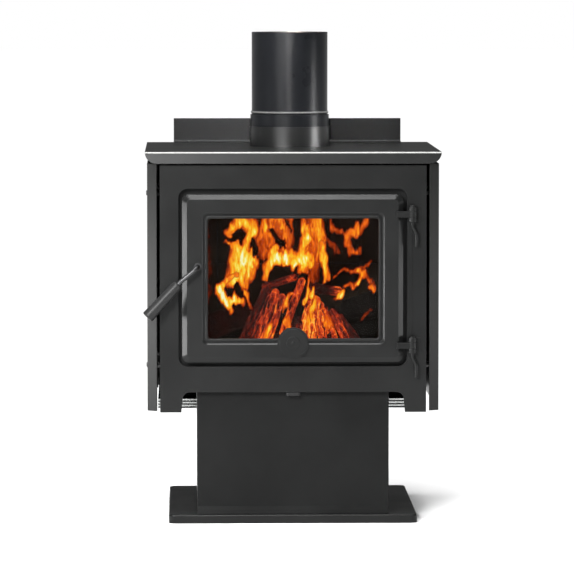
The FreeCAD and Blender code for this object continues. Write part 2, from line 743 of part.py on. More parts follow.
def air_manifold():
    outer_x = BRICK_WALL_X + BRICK
    bottom_z = BRICK_TOP_Z + 1
    rear_y = BRICK_REAR_Y + BRICK
    wall = MANIFOLD_WALL
    body = box(BRICK_WALL_X, outer_x, BRICK_FRONT_Y, rear_y, bottom_z, MANIFOLD_TOP_Z)
    duct = box(
        BRICK_WALL_X + wall, outer_x - wall, BRICK_FRONT_Y + wall, rear_y - wall,
        bottom_z + wall, MANIFOLD_TOP_Z - wall,
    )
    outlets = [
        cylinder(TUBE_RADIUS + 0.3, Vector(BRICK_WALL_X - 1, y, TUBE_Z), X_AXIS, wall + 2)
        for y in TUBE_PLACES_Y
    ]
    return body.cut(duct).cut(Part.makeCompound(outlets))


def air_tubes():
    """Four tubes across the firebox, each with a row of jet holes along its front."""
    end_x = BRICK_WALL_X + MANIFOLD_WALL + 4
    tubes = []
    for y in TUBE_PLACES_Y:
        start = Vector(-end_x, y, TUBE_Z)
        wall = cylinder(TUBE_RADIUS, start, X_AXIS, 2 * end_x)
        wall = wall.cut(cylinder(TUBE_BORE, start, X_AXIS, 2 * end_x))
        jets = [
            cylinder(2.0, Vector(JET_FIRST_X + JET_PITCH * index, y, TUBE_Z), Vector(0, -1, -1), 20)
            for index in range(JET_COUNT)
        ]
        tubes.append(wall.cut(Part.makeCompound(jets)))
    return Part.makeCompound(tubes)


def baffle_boards():
    bottom_z = TUBE_Z + TUBE_RADIUS + 0.3
    top_z = bottom_z + BAFFLE_THICKNESS
    rear_y = BRICK_REAR_Y + BRICK - 1
    right = box(0.5, BRICK_WALL_X - 1, BAFFLE_FRONT_Y, rear_y, bottom_z, top_z)
    return Part.makeCompound([right, mirrored(right)])


def air_wash_deflector():
    side_view = [
        (FACE_REAR_Y, MANIFOLD_TOP_Z + 22),
        (FACE_REAR_Y, MANIFOLD_TOP_Z + 8),
        (FACE_REAR_Y + 16, MANIFOLD_TOP_Z - 12),
    ]
    return sheet_along_x(side_view, 2.0, -BRICK_WALL_X, BRICK_WALL_X)


# ---- primary air ----


def air_box():
    """A duct open at its top, which the firebox floor closes. The air slide runs in it."""
    sheet = AIR_BOX_SHEET
    half = AIR_BOX_HALF
    bottom_z = AIR_BOX_BOTTOM_Z
    duct = box(-half, half, AIR_BOX_FRONT_Y, AIR_BOX_REAR_Y, bottom_z, FIREBOX_FLOOR_Z)
    inside = box(
        -half + sheet, half - sheet, AIR_BOX_FRONT_Y + sheet, AIR_BOX_REAR_Y - sheet,
        bottom_z + sheet, FIREBOX_FLOOR_Z + 1,
    )
    inlet = box(
        -AIR_SLOT_HALF, AIR_SLOT_HALF, AIR_SLOT_FRONT_Y, AIR_SLOT_REAR_Y,
        bottom_z - 1, bottom_z + sheet + 1,
    )
    bar_slot = box(
        -AIR_BAR_HALF - 0.5, AIR_BAR_HALF + 0.5, AIR_BOX_FRONT_Y - 1, AIR_BOX_FRONT_Y + sheet + 1,
        AIR_BAR_BOTTOM_Z - 0.5, AIR_BAR_TOP_Z + 0.5,
    )
    return duct.cut(inside).cut(inlet).cut(bar_slot)


def air_slide():
    """The sliding plate that covers the inlet, and the bar that pulls it."""
    plate_z = AIR_BOX_BOTTOM_Z + AIR_BOX_SHEET + 0.3
    half = AIR_SLOT_HALF + 8
    front_y = AIR_SLOT_FRONT_Y - 4
    plate = box(-half, half, front_y, AIR_SLOT_REAR_Y + 5, plate_z, plate_z + 2)
    web = box(-AIR_BAR_HALF, AIR_BAR_HALF, front_y + 4, front_y + 8, plate_z, AIR_BAR_TOP_Z)
    bar = box(
        -AIR_BAR_HALF, AIR_BAR_HALF, AIR_BAR_FRONT_Y, front_y + 8, AIR_BAR_BOTTOM_Z, AIR_BAR_TOP_Z
    )
    return fused([plate, web, bar])


def air_tab():
    """The finger tab at the end of the air slide's bar."""
    rear_y = AIR_BAR_FRONT_Y + 4
    tab = rounded_block(
        -AIR_TAB_HALF, AIR_TAB_HALF, AIR_TAB_FRONT_Y, rear_y,
        AIR_BAR_BOTTOM_Z - 2.5, AIR_BAR_TOP_Z + 1.5, 5, Z_AXIS,
    )
    pocket = box(
        -AIR_BAR_HALF, AIR_BAR_HALF, AIR_BAR_FRONT_Y, rear_y + 5, AIR_BAR_BOTTOM_Z, AIR_BAR_TOP_Z
    )
    return tab.cut(pocket)


# ---- door ----


def tapered_panel(x0, x1, z0, z1, radius, ends):
    """A panel whose sides slope between two depths; ends are (inset from the outline, y)."""
    wires = []
    for inset, y in ends:
        outline = panel(
            x0 + inset, x1 - inset, z0 + inset, z1 - inset, y - 1, y, radius - 0.6 * inset
        )
        flat = [face for face in outline.Faces if abs(face.BoundBox.YMin - y) < 1e-6]
        wires.append(flat[0].OuterWire)
    return Part.makeLoft(wires, True, True)


def window_rebate():
    """The hollow around the window."""
    return tapered_panel(
        -WINDOW_HALF - REBATE_WIDTH, WINDOW_HALF + REBATE_WIDTH,
        WINDOW_BOTTOM_Z - REBATE_WIDTH, WINDOW_TOP_Z + REBATE_WIDTH, 12,
        ((0.0, DOOR_FACE_Y), (REBATE_SLOPE, DOOR_FACE_Y + REBATE_DEPTH)),
    )


def door_frame():
    slab = panel(
        DOOR_LEFT_X, DOOR_RIGHT_X, DOOR_BOTTOM_Z, DOOR_TOP_Z, DOOR_EDGE_Y, DOOR_BACK_Y, DOOR_RADIUS
    )
    raised = tapered_panel(
        DOOR_LEFT_X, DOOR_RIGHT_X, DOOR_BOTTOM_Z, DOOR_TOP_Z, DOOR_RADIUS,
        ((0.0, DOOR_EDGE_Y), (DOOR_BEVEL, DOOR_FACE_Y)),
    )
    window = panel(
        -WINDOW_HALF, WINDOW_HALF, WINDOW_BOTTOM_Z, WINDOW_TOP_Z,
        DOOR_FACE_Y - 1, DOOR_BACK_Y + 1, WINDOW_RADIUS,
    )
    seat_edge = GLASS_OVERLAP + 2
    seat = panel(
        -WINDOW_HALF - seat_edge, WINDOW_HALF + seat_edge,
        WINDOW_BOTTOM_Z - seat_edge, WINDOW_TOP_Z + seat_edge,
        GLASS_FRONT_Y - GLASS_TAPE, DOOR_BACK_Y + 1, WINDOW_RADIUS,
    )
    groove_half = GASKET_HALF_WIDTH + 0.4
    groove = frame_ring(
        -GASKET_X - groove_half, GASKET_X + groove_half,
        GASKET_BOTTOM_Z - groove_half, GASKET_TOP_Z + groove_half,
        2 * groove_half, DOOR_BACK_Y - GASKET_DEPTH, DOOR_BACK_Y + 1, 10, 6,
    )
    bore = cylinder(
        BUSHING_SLEEVE + 0.02, Vector(LATCH_X, DOOR_FACE_Y - 5, LATCH_Z), Y_AXIS, 40
    )
    door = fused([slab, raised]).cut(window_rebate()).cut(window).cut(seat).cut(groove).cut(bore)
    return door.cut(retainer_screw_bodies(1.6))


def latch_bushing():
    front_y = DOOR_FACE_Y - BUSHING_FLANGE
    flange = cylinder(BUSHING_RADIUS, Vector(LATCH_X, front_y, LATCH_Z), Y_AXIS, BUSHING_FLANGE)
    depth = DOOR_BACK_Y - DOOR_FACE_Y
    sleeve = cylinder(BUSHING_SLEEVE, Vector(LATCH_X, DOOR_FACE_Y, LATCH_Z), Y_AXIS, depth)
    bore = cylinder(SHAFT_RADIUS + SHAFT_CLEARANCE, Vector(LATCH_X, DOOR_FACE_Y - 5, LATCH_Z), Y_AXIS, 50)
    return fused([flange, sleeve]).cut(bore)


def window_trim():
    """A rounded bead that stands in the rebate along the window's edge."""
    back_y = DOOR_FACE_Y + REBATE_DEPTH
    front_y = back_y - TRIM_HEIGHT
    trim = frame_ring(
        -WINDOW_HALF - TRIM_WIDTH, WINDOW_HALF + TRIM_WIDTH,
        WINDOW_BOTTOM_Z - TRIM_WIDTH, WINDOW_TOP_Z + TRIM_WIDTH,
        TRIM_WIDTH, front_y, back_y, 9, WINDOW_RADIUS,
    )
    front = [
        edge for edge in trim.Edges
        if abs(edge.BoundBox.YMax - front_y) < 1e-6 and abs(edge.BoundBox.YMin - front_y) < 1e-6
    ]
    return trim.makeFillet(2.4, front)


def door_glass():
    edge = GLASS_OVERLAP
    return panel(
        -WINDOW_HALF - edge, WINDOW_HALF + edge, WINDOW_BOTTOM_Z - edge, WINDOW_TOP_Z + edge,
        GLASS_FRONT_Y, GLASS_FRONT_Y + GLASS, WINDOW_RADIUS,
    )


def glass_gasket():
    edge = GLASS_OVERLAP
    return frame_ring(
        -WINDOW_HALF - edge, WINDOW_HALF + edge, WINDOW_BOTTOM_Z - edge, WINDOW_TOP_Z + edge,
        edge - 1, GLASS_FRONT_Y - GLASS_TAPE, GLASS_FRONT_Y, WINDOW_RADIUS, 3,
    )


def retainer_screw_bodies(radius):
    """The shanks of the four retainer screws, which go into the door from behind."""
    shanks = []
    for x, edge_z, way in RETAINER_PLACES:
        place = Vector(x, DOOR_BACK_Y - 10, edge_z + way * RETAINER_SCREW_REACH)
        shanks.append(cylinder(radius, place, Y_AXIS, 14))
    return Part.makeCompound(shanks)


def glass_retainers():
    """Four clips behind the door. Each is screwed to the frame and steps down onto the glass."""
    glass_back = GLASS_FRONT_Y + GLASS + 0.2
    clips = []
    for x, edge_z, way in RETAINER_PLACES:
        side_view = [
            (DOOR_BACK_Y, edge_z + way * 22),
            (DOOR_BACK_Y, edge_z + way * 12.2),
            (glass_back, edge_z + way * 9.5),
            (glass_back, edge_z + way * 2),
        ]
        thickness = RETAINER_SHEET * way
        clips.append(
            sheet_along_x(side_view, thickness, x - RETAINER_HALF_WIDTH, x + RETAINER_HALF_WIDTH)
        )
    return Part.makeCompound(clips).cut(retainer_screw_bodies(1.8))


def retainer_screws():
    screws = []
    for x, edge_z, way in RETAINER_PLACES:
        place = Vector(x, DOOR_BACK_Y + RETAINER_SHEET, edge_z + way * RETAINER_SCREW_REACH)
        screws.append(round_head_screw(place, Y_AXIS * -1, 1.5, 9, 3.0, 1.8))
    return Part.makeCompound(screws)


def door_gasket():
    """The rope seal in the groove behind the door. It stops just short of the firebox face."""
    half = GASKET_HALF_WIDTH
    return frame_ring(
        -GASKET_X - half, GASKET_X + half, GASKET_BOTTOM_Z - half, GASKET_TOP_Z + half,
        2 * half, DOOR_BACK_Y - GASKET_DEPTH, FACE_FRONT_Y - 0.35, 9.5, 6.5,
    )


def medallion():
    """A plain round boss of rising steps at the foot of the window."""
    discs = [
        cylinder(radius, Vector(0, DOOR_FACE_Y - height, MEDALLION_Z), Y_AXIS, height)
        for radius, height in MEDALLION_STEPS
    ]
    return fused(discs)


# ---- hinges ----


def lug_range(z):
    return z - LUG_HEIGHT / 2, z + LUG_HEIGHT / 2


def door_lugs():
    """Two arms from the door's right edge to the hinge pins."""
    lugs = []
    for z in HINGE_PLACES_Z:
        z0, z1 = lug_range(z)
        eye = cylinder(KNUCKLE_RADIUS, Vector(HINGE_X, HINGE_Y, z0), Z_AXIS, LUG_HEIGHT)
        arm = box(DOOR_RIGHT_X - DOOR_BEVEL - 4, HINGE_X, DOOR_FACE_Y - LUG_THICKNESS, DOOR_FACE_Y, z0, z1)
        bore = cylinder(
            HINGE_PIN_RADIUS + HINGE_CLEARANCE, Vector(HINGE_X, HINGE_Y, z0 - 1), Z_AXIS, LUG_HEIGHT + 2
        )
        lugs.append(fused([arm, eye]).cut(bore))
    return Part.makeCompound(lugs)


def hinge_bracket(z):
    """A plate on the outer front with a knuckle above and below the door's lug."""
    z0, z1 = lug_range(z)
    low = z0 - KNUCKLE_GAP - KNUCKLE_HEIGHT
    high = z1 + KNUCKLE_GAP + KNUCKLE_HEIGHT
    plate = box(RECESS_RIGHT_X + 12, HINGE_X + 18, FRONT_Y - HINGE_STRAP, FRONT_Y, low, high)
    pieces = [plate]
    for start in (low, z1 + KNUCKLE_GAP):
        pieces.append(cylinder(KNUCKLE_RADIUS, Vector(HINGE_X, HINGE_Y, start), Z_AXIS, KNUCKLE_HEIGHT))
        pieces.append(
            box(HINGE_X + 1.5, HINGE_X + 9, HINGE_Y, FRONT_Y, start, start + KNUCKLE_HEIGHT)
        )
    bore = cylinder(HINGE_PIN_RADIUS + 0.05, Vector(HINGE_X, HINGE_Y, low - 1), Z_AXIS, high - low + 2)
    return fused(pieces).cut(bore)


def swept_rod(points, radii, rod_radius):
    """A round rod through points, with an arc of the given radius at each inner point."""
    edges = []
    start = points[0]
    for before, corner, after, radius in zip(points, points[1:], points[2:], radii):
        into = (corner - before).normalize()
        out = (after - corner).normalize()
        half_turn = into.getAngle(out) / 2
        reach = radius * math.tan(half_turn)
        first = corner - into * reach
        last = corner + out * reach
        inward = (out - into).normalize()
        centre = corner + inward * (radius / math.cos(half_turn))
        middle = centre - inward * radius
        edges.append(Part.LineSegment(start, first).toShape())
        edges.append(Part.Arc(first, middle, last).toShape())
        start = last
    edges.append(Part.LineSegment(start, points[-1]).toShape())
    path = Part.Wire(edges)
    way = (points[1] - points[0]).normalize()
    ring = Part.Wire(Part.makeCircle(rod_radius, points[0], way))
    return path.makePipeShell([ring], True, True)


def hinge_pin(z):
    """A round pin with a head. Below the bracket its tail bends aside and hangs down."""
    z0, z1 = lug_range(z)
    top = z1 + KNUCKLE_GAP + KNUCKLE_HEIGHT
    low = z0 - KNUCKLE_GAP - KNUCKLE_HEIGHT
    tail_x = HINGE_X + PIN_TAIL_OFFSET
    path = [
        Vector(HINGE_X, HINGE_Y, top + 1),
        Vector(HINGE_X, HINGE_Y, low - 8),
        Vector(tail_x, HINGE_Y, low - 26),
        Vector(tail_x, HINGE_Y, low - 52),
    ]
    pin = swept_rod(path, (14, 14), HINGE_PIN_RADIUS)
    head = cylinder(6.5, Vector(HINGE_X, HINGE_Y, top), Z_AXIS, 3)
    return fused([pin, head])


def hinge_rail():
    """A flat strip on the outer front between the two hinge brackets."""
    low = lug_range(HINGE_PLACES_Z[1])[1] + KNUCKLE_GAP + KNUCKLE_HEIGHT + 1
    high = lug_range(HINGE_PLACES_Z[0])[0] - KNUCKLE_GAP - KNUCKLE_HEIGHT - 1
    return box(RECESS_RIGHT_X + 1, RECESS_RIGHT_X + 10.5, FRONT_Y - HINGE_STRAP, FRONT_Y, low, high)


# ---- latch and handle ----


def turned(angle, length):
    """A step of some length in the plane of the door, at an angle from X towards Z."""
    return Vector(length * math.cos(math.radians(angle)), 0, length * math.sin(math.radians(angle)))


def handle_path():
    start = Vector(LATCH_X, CAM_FRONT_Y + CAM_THICKNESS + NUT_THICKNESS, LATCH_Z)
    elbow = Vector(LATCH_X, HANDLE_Y, LATCH_Z)
    knee = elbow + turned(ROD_ANGLE, ROD_LENGTH + ELBOW_RADIUS)
    end = knee + turned(GRIP_ANGLE, GRIP_LENGTH - 6)
    return [start, elbow, knee, end]


def handle_rod():
    return swept_rod(handle_path(), (ELBOW_RADIUS, 40), SHAFT_RADIUS)


def handle_grip():
    """A tapered grip with a rounded end, pushed over the rod."""
    knee, end = handle_path()[2:]
    way = (end - knee).normalize()
    foot = knee + way * 6
    body = Part.makeCone(GRIP_START_RADIUS, GRIP_END_RADIUS, GRIP_LENGTH, foot, way)
    rims = [edge for edge in body.Edges if edge.Closed and edge.Curve.TypeId == "Part::GeomCircle"]
    body = body.makeFillet(3.5, rims)
    return body.cut(handle_rod())


def latch_cam():
    """The arm behind the firebox face that holds the door shut."""
    eye = cylinder(CAM_EYE_RADIUS, Vector(LATCH_X, CAM_FRONT_Y, LATCH_Z), Y_AXIS, CAM_THICKNESS)
    arm = panel(
        LATCH_X - CAM_LENGTH, LATCH_X, LATCH_Z - CAM_HALF_WIDTH, LATCH_Z + CAM_HALF_WIDTH,
        CAM_FRONT_Y, CAM_FRONT_Y + CAM_THICKNESS, 3,
    )
    bore = cylinder(SHAFT_RADIUS, Vector(LATCH_X, CAM_FRONT_Y - 1, LATCH_Z), Y_AXIS, CAM_THICKNESS + 2)
    return fused([arm, eye]).cut(bore)


def latch_nut():
    back_y = CAM_FRONT_Y + CAM_THICKNESS
    centre = Vector(LATCH_X, back_y, LATCH_Z)
    corners = [centre + turned(60 * step + 30, CAM_EYE_RADIUS) for step in range(6)]
    nut = prism(corners, Y_AXIS * NUT_THICKNESS)
    return nut.cut(cylinder(SHAFT_RADIUS, Vector(LATCH_X, back_y - 1, LATCH_Z), Y_AXIS, NUT_THICKNESS + 2))


def latch_catch():
    """A wear pad on the back of the firebox face, which the cam bears on."""
    return box(-244, -OPENING_HALF - 1, FACE_REAR_Y, FACE_REAR_Y + 2, LATCH_Z - 22, LATCH_Z + 22)


def parts():
    """Every sub-part of the stove, by name."""
    side = pedestal_side()
    wall = firebox_side()
    shield = side_shield()
    wing = bottom_shield()
    bricks = side_bricks()
    manifold = air_manifold()
    return {
        "base_plate": base_plate(),
        "base_pan": base_pan(),
        "pedestal_front": pedestal_front(),
        "pedestal_right": side,
        "pedestal_left": mirrored(side),
        "pedestal_bolts": pedestal_bolts(),
        "firebox_floor": firebox_floor(),
        "firebox_right_wall": wall,
        "firebox_left_wall": mirrored(wall),
        "firebox_rear_wall": firebox_rear(),
        "firebox_roof": firebox_roof(),
        "firebox_face": firebox_face(),
        "front_plate": front_plate(),
        "front_spacers": front_spacers(),
        "top_plate": top_plate(),
        "rear_lip": rear_lip(),
        "right_side_shield": shield,
        "left_side_shield": mirrored(shield),
        "rear_heat_shield": rear_heat_shield(),
        "shield_spacers": shield_spacers(),
        "sheet_screws": sheet_screws(),
        "right_bottom_shield": wing,
        "left_bottom_shield": mirrored(wing),
        "flue_collar": flue_collar(),
        "pipe_adapter": pipe_adapter(),
        "pipe_outer_wall": pipe_outer(),
        "pipe_liner": pipe_liner(),
        "pipe_screws": pipe_screws(),
        "floor_bricks": floor_bricks(),
        "right_bricks": bricks,
        "left_bricks": mirrored(bricks),
        "rear_bricks": rear_bricks(),
        "ember_guard": ember_guard(),
        "right_air_manifold": manifold,
        "left_air_manifold": mirrored(manifold),
        "secondary_air_tubes": air_tubes(),
        "baffle_boards": baffle_boards(),
        "air_wash_deflector": air_wash_deflector(),
        "primary_air_box": air_box(),
        "air_slide": air_slide(),
        "air_tab": air_tab(),
        "hinge_brackets": Part.makeCompound([hinge_bracket(z) for z in HINGE_PLACES_Z]),
        "hinge_pins": Part.makeCompound([hinge_pin(z) for z in HINGE_PLACES_Z]),
        "hinge_rail": hinge_rail(),
        "latch_catch": latch_catch(),
        "door_frame": door_frame(),
        "door_lugs": door_lugs(),
        "window_trim": window_trim(),
        "door_glass": door_glass(),
        "glass_gasket": glass_gasket(),
        "glass_retainers": glass_retainers(),
        "door_gasket": door_gasket(),
        "medallion": medallion(),
        "latch_bushing": latch_bushing(),
        "handle_rod": handle_rod(),
        "handle_grip": handle_grip(),
        "latch_cam": latch_cam(),
        "latch_nut": latch_nut(),
        "retainer_screws": retainer_screws(),
    }


def main():
    os.makedirs("parts", exist_ok=True)
    for name, shape in parts().items():
        if not shape.isValid() or shape.Volume <= 0:
            print("not a sound solid:", name)
        shape.exportStep("parts/" + name + ".step")
        print(name, len(shape.Solids), round(shape.Volume / 1000, 1))


main()
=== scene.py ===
"""The looks of a wood burning stove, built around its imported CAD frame.

Lengths are in metres unless a comment says mm. X points right, Y points back and Z points up, with the
origin on the floor under the middle of the base. Steel parts keep their CAD shape and get a procedural
finish. The fire, the logs, the firebricks and the rope seal of the door are modelled here.
"""

import json
import math
import random

import bmesh
import bpy
import numpy as np
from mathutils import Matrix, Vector, noise


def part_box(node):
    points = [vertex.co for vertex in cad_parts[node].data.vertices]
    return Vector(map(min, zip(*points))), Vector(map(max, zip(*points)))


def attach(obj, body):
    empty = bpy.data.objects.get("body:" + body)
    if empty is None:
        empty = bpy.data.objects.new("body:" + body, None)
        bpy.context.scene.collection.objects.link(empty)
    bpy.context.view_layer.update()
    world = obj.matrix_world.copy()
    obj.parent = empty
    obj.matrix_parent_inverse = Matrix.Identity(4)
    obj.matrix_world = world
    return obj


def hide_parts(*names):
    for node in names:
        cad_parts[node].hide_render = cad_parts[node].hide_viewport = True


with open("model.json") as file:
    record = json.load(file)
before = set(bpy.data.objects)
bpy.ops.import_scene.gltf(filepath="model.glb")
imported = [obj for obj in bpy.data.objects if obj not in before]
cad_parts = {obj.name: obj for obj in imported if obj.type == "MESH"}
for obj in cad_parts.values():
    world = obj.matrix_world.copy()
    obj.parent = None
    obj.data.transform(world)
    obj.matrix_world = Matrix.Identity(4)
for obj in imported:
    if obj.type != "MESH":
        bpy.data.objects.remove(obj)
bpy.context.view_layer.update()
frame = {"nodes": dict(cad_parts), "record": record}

MM = 0.001

# Camera
CAMERA_PLACE = (-0.228, -9.265, 1.158)
CAMERA_TARGET = (-0.0133, -0.265, 0.5052)
CAMERA_LENS_MM = 266.6
CAMERA_SENSOR_MM = 36.0

# Studio
FLOOR_RADIUS = 60.0
FLOOR_TONE = 0.90
AMBIENT = 0.11
BACKGROUND = 1.0
SUN_POWER = 3.3
SUN_SPREAD = math.radians(40)
# name, place, what it points at, size across and up, power, spread of its beam
SOFT_LIGHTS = (
    ("overhead_strip", (-0.5, -1.05, 3.2), (-0.4, -0.2, 0.7), (1.9, 0.5), 58.0, math.radians(150)),
    ("key_light", (-1.2, -3.4, 1.9), (0.0, -0.2, 0.5), (0.9, 0.9), 86.0, math.radians(120)),
    ("side_key_light", (-1.3, -1.9, 1.1), (0.0, -0.2, 0.5), (0.6, 0.6), 5.0, math.radians(120)),
    ("left_light", (-2.2, -0.9, 0.35), (-0.3, -0.25, 0.42), (0.3, 0.3), 1.0, math.radians(28)),
    ("right_light", (2.2, -0.9, 0.35), (0.3, -0.25, 0.42), (0.3, 0.3), 0.2, math.radians(28)),
    ("pipe_light", (-0.2, -4.0, 1.6), (0.0, 0.0, 1.14), (0.15, 0.15), 1.0, math.radians(10)),
    ("collar_light", (2.6, -0.6, 1.15), (0.08, -0.02, 0.835), (0.2, 0.2), 0.22, math.radians(6)),
)

# Paint and metal colours, and where a painted highlight of pale grey lies: the front fold of the top and
# the bead of the pipe
STOVE_BLACK = (0.0065, 0.0067, 0.0066)
PIPE_BLACK = (0.0052, 0.0056, 0.0066)
PALE_GREY = (0.42, 0.43, 0.42)
PAINTED_HIGHLIGHT_GREY = (0.33, 0.33, 0.32, 1.0)
SOOT_BLACK = (0.002, 0.0016, 0.0013, 1.0)
LIP_LEAN = 5.0 * MM
FOLD_SIZE = 3.6 * MM
BEAD_PLACE = 867.6 * MM
BEAD_HALF = 2.6 * MM
BEAD_CORE = 0.4 * BEAD_HALF
BEAD_HIGHLIGHT = 0.35

# Fire. Lengths are in mm.
HEAT_LAYER = "warmth"  # the name "heat" is taken by volumes
FIRE_RAMP_TOP = 1.4
FLAME_LOW = (-190.0, 372.0)
FLAME_HIGH = (190.0, 652.0)
FLAME_PITCH = 2.4
SPINE_STEPS = 10
SPINE_FALLOFF = 0.6
FLAME_BLEND = 4
# Sway of the flames: how far, then the width and height of one wave
FLAME_SWAYS = ((8.0, 30.0, 60.0), (5.0, 12.0, 28.0), (2.4, 6.0, 14.0))
SWAY_UP = 1.5
SWAY_UP_WIDTH = 0.7
# Upright streaks and finer threads: the width and height of one wave, then how strong
FLAME_STREAKS = (6.5, 48.0, 0.50)
FLAME_THREADS = (3.4, 22.0, 0.34)
FLAME_TEAR = 0.30
FLAME_BULGE = 14.0
# Unevenness of a sheet's depth: how far, then the width and height of one wave
FLAME_WAVER = (5.0, 45.0, 70.0)
COLDEST = 0.03
# Steps between the places that noises are read from, so that no two are alike
SHEET_SEED_STEP = 7.0
SWAY_SEED_STEP = 3.1
SWAY_UP_SEED = 20.0
STREAK_SEED = 40.0
THREAD_SEED = 60.0
WAVER_SEED = 80.0

# Logs: points around and along, how thick the tip is and how fast it grows, and how deep the splits are
LOG_AROUND = 30
LOG_ALONG = 34
LOG_TIP = 0.12
LOG_TAPER = 1.6
LOG_SPLIT = 0.13
# How strong, then how fine
LOG_BARK = (0.16, 38.0)
LOG_FINE_BARK = (0.07, 120.0)
LOG_HEAT_WAVE = (0.5, 30.0)

# Ember bed and charcoal. Lengths are in mm.
EMBER_FLOOR = 331.0
# Two low hills: height, middle, then reach to each side and to front and back
EMBER_HILLS = ((60.0, (30.0, -10.0), (90.0, 70.0)), (18.0, (0.0, 0.0), (150.0, 130.0)))
EMBER_ROUGHNESS = (7.0, 40.0)  # how deep, then how fine
EMBER_CLEARANCE = 0.4
EMBER_BED_COLUMNS = 64
EMBER_BED_ROWS = 56
EMBER_HEAT = 0.8
LUMP_COUNT = 90
LUMP_SEED = 11
LUMP_REACH_X = (-190.0, 190.0)
LUMP_REACH_Y = (-170.0, 160.0)
LUMP_SPREAD_X = (30, 75)  # middle, then how widely the lumps are spread
LUMP_SPREAD_Y = (-20, 60)
LUMP_SIZE = (9, 19)
LUMP_STRETCH = (0.7, 1.3)
LUMP_UNEVENNESS = (0.5, 1.6)  # how deep, then how fine
LUMP_SEED_STEP = 3.7

# Firebricks
BRICK_NODES = ("floor_bricks", "left_bricks", "right_bricks", "rear_bricks")
BRICK_EDGE = 3.0 * MM
BRICK_CUTS = 9
BRICK_WEAR = 0.9 * MM
BRICK_WORN_SHARE = 0.5
# How deep, as a share of the wear, then how fine
BRICK_CHIPS = (0.5, 60.0)
BRICK_PITS = (0.4, 210.0)
WELD_REACH = 0.01 * MM

# Rope seal of the door
ROPE_HALF_WIDTH = 4.5 * MM
ROPE_CORNER = 7.0 * MM
ROPE_CORNER_TURN = 10
ROPE_STEP = 1.5 * MM
ROPE_AROUND = 16
ROPE_STITCH = 9.0 * MM
ROPE_STITCH_DEPTH = 0.09


# ---------------------------------------------------------------- node trees


class Graph:
    """Short calls that build one material's node tree."""

    def __init__(self, name):
        self.material = bpy.data.materials.new(name)
        self.material.use_nodes = True
        self.tree = self.material.node_tree
        self.shader = self.tree.nodes["Principled BSDF"]
        self.place = self.add("ShaderNodeTexCoord").outputs["Object"]

    def add(self, kind, **settings):
        node = self.tree.nodes.new(kind)
        for key, value in settings.items():
            setattr(node, key, value)
        return node

    def feed(self, target, source):
        """Joins a socket to an input, or sets a constant on it."""
        if isinstance(source, bpy.types.NodeSocket):
            self.tree.links.new(source, target)
        else:
            target.default_value = source

    def set(self, **inputs):
        """Feeds the shader's inputs, named in lower case with _ for a space."""
        names = {socket.name.lower().replace(" ", "_"): socket for socket in self.shader.inputs}
        for key, source in inputs.items():
            self.feed(names[key], source)

    def stretched(self, stretch, place=None):
        node = self.add("ShaderNodeMapping")
        self.feed(node.inputs["Vector"], place or self.place)
        node.inputs["Scale"].default_value = stretch
        return node.outputs["Vector"]

    def noise(self, scale, detail=3.0, rough=0.55, place=None, distortion=0.0):
        node = self.add("ShaderNodeTexNoise")
        self.feed(node.inputs["Vector"], place or self.place)
        node.inputs["Scale"].default_value = scale
        node.inputs["Detail"].default_value = detail
        node.inputs["Roughness"].default_value = rough
        node.inputs["Distortion"].default_value = distortion
        return node.outputs["Fac"]

    def cells(self, scale, output="Distance", feature="F1", place=None):
        node = self.add("ShaderNodeTexVoronoi", feature=feature)
        self.feed(node.inputs["Vector"], place or self.place)
        node.inputs["Scale"].default_value = scale
        return node.outputs[output]

    def math(self, operation, first, second=0.0, clamp=False):
        node = self.add("ShaderNodeMath", operation=operation, use_clamp=clamp)
        self.feed(node.inputs[0], first)
        self.feed(node.inputs[1], second)
        return node.outputs[0]

    def remap(self, value, low, high, new_low=0.0, new_high=1.0):
        node = self.add("ShaderNodeMapRange", clamp=True)
        self.feed(node.inputs["Value"], value)
        node.inputs["From Min"].default_value = low
        node.inputs["From Max"].default_value = high
        node.inputs["To Min"].default_value = new_low
        node.inputs["To Max"].default_value = new_high
        return node.outputs["Result"]

    def ramp(self, value, stops):
        """A colour ramp; stops are (position, (red, green, blue))."""
        node = self.add("ShaderNodeValToRGB")
        self.feed(node.inputs["Fac"], value)
        elements = node.color_ramp.elements
        for element, (position, colour) in zip(elements, (stops[0], stops[-1])):
            element.position = position
            element.color = (*colour, 1.0)
        for position, colour in stops[1:-1]:
            elements.new(position).color = (*colour, 1.0)
        return node.outputs["Color"]

    def mix(self, factor, first, second, blend="MIX"):
        node = self.add("ShaderNodeMix", data_type="RGBA", blend_type=blend)
        self.feed(node.inputs[0], factor)
        self.feed(node.inputs[6], first)
        self.feed(node.inputs[7], second)
        return node.outputs[2]

    def rounding(self, radius):
        """The surface direction with sharp edges rounded off by radius."""
        node = self.add("ShaderNodeBevel", samples=4)
        node.inputs["Radius"].default_value = radius
        return node.outputs["Normal"]

    def edge_mask(self, rounded):
        """Rises from 0 on flat faces towards 1 along sharp edges."""
        geometry = self.add("ShaderNodeNewGeometry")
        node = self.add("ShaderNodeVectorMath", operation="DOT_PRODUCT")
        self.feed(node.inputs[0], rounded)
        self.feed(node.inputs[1], geometry.outputs["True Normal"])
        return self.remap(node.outputs["Value"], 0.995, 0.80)

    def bump(self, height, strength, distance, normal=None):
        node = self.add("ShaderNodeBump")
        self.feed(node.inputs["Height"], height)
        node.inputs["Strength"].default_value = strength
        node.inputs["Distance"].default_value = distance
        if normal:
            self.feed(node.inputs["Normal"], normal)
        return node.outputs["Normal"]


def tinted(colour, factor):
    """The colour made lighter or darker by a factor, with full alpha."""
    return tuple(min(1.0, part * factor) for part in colour[:3]) + (1.0,)


# ---------------------------------------------------------------- finishes


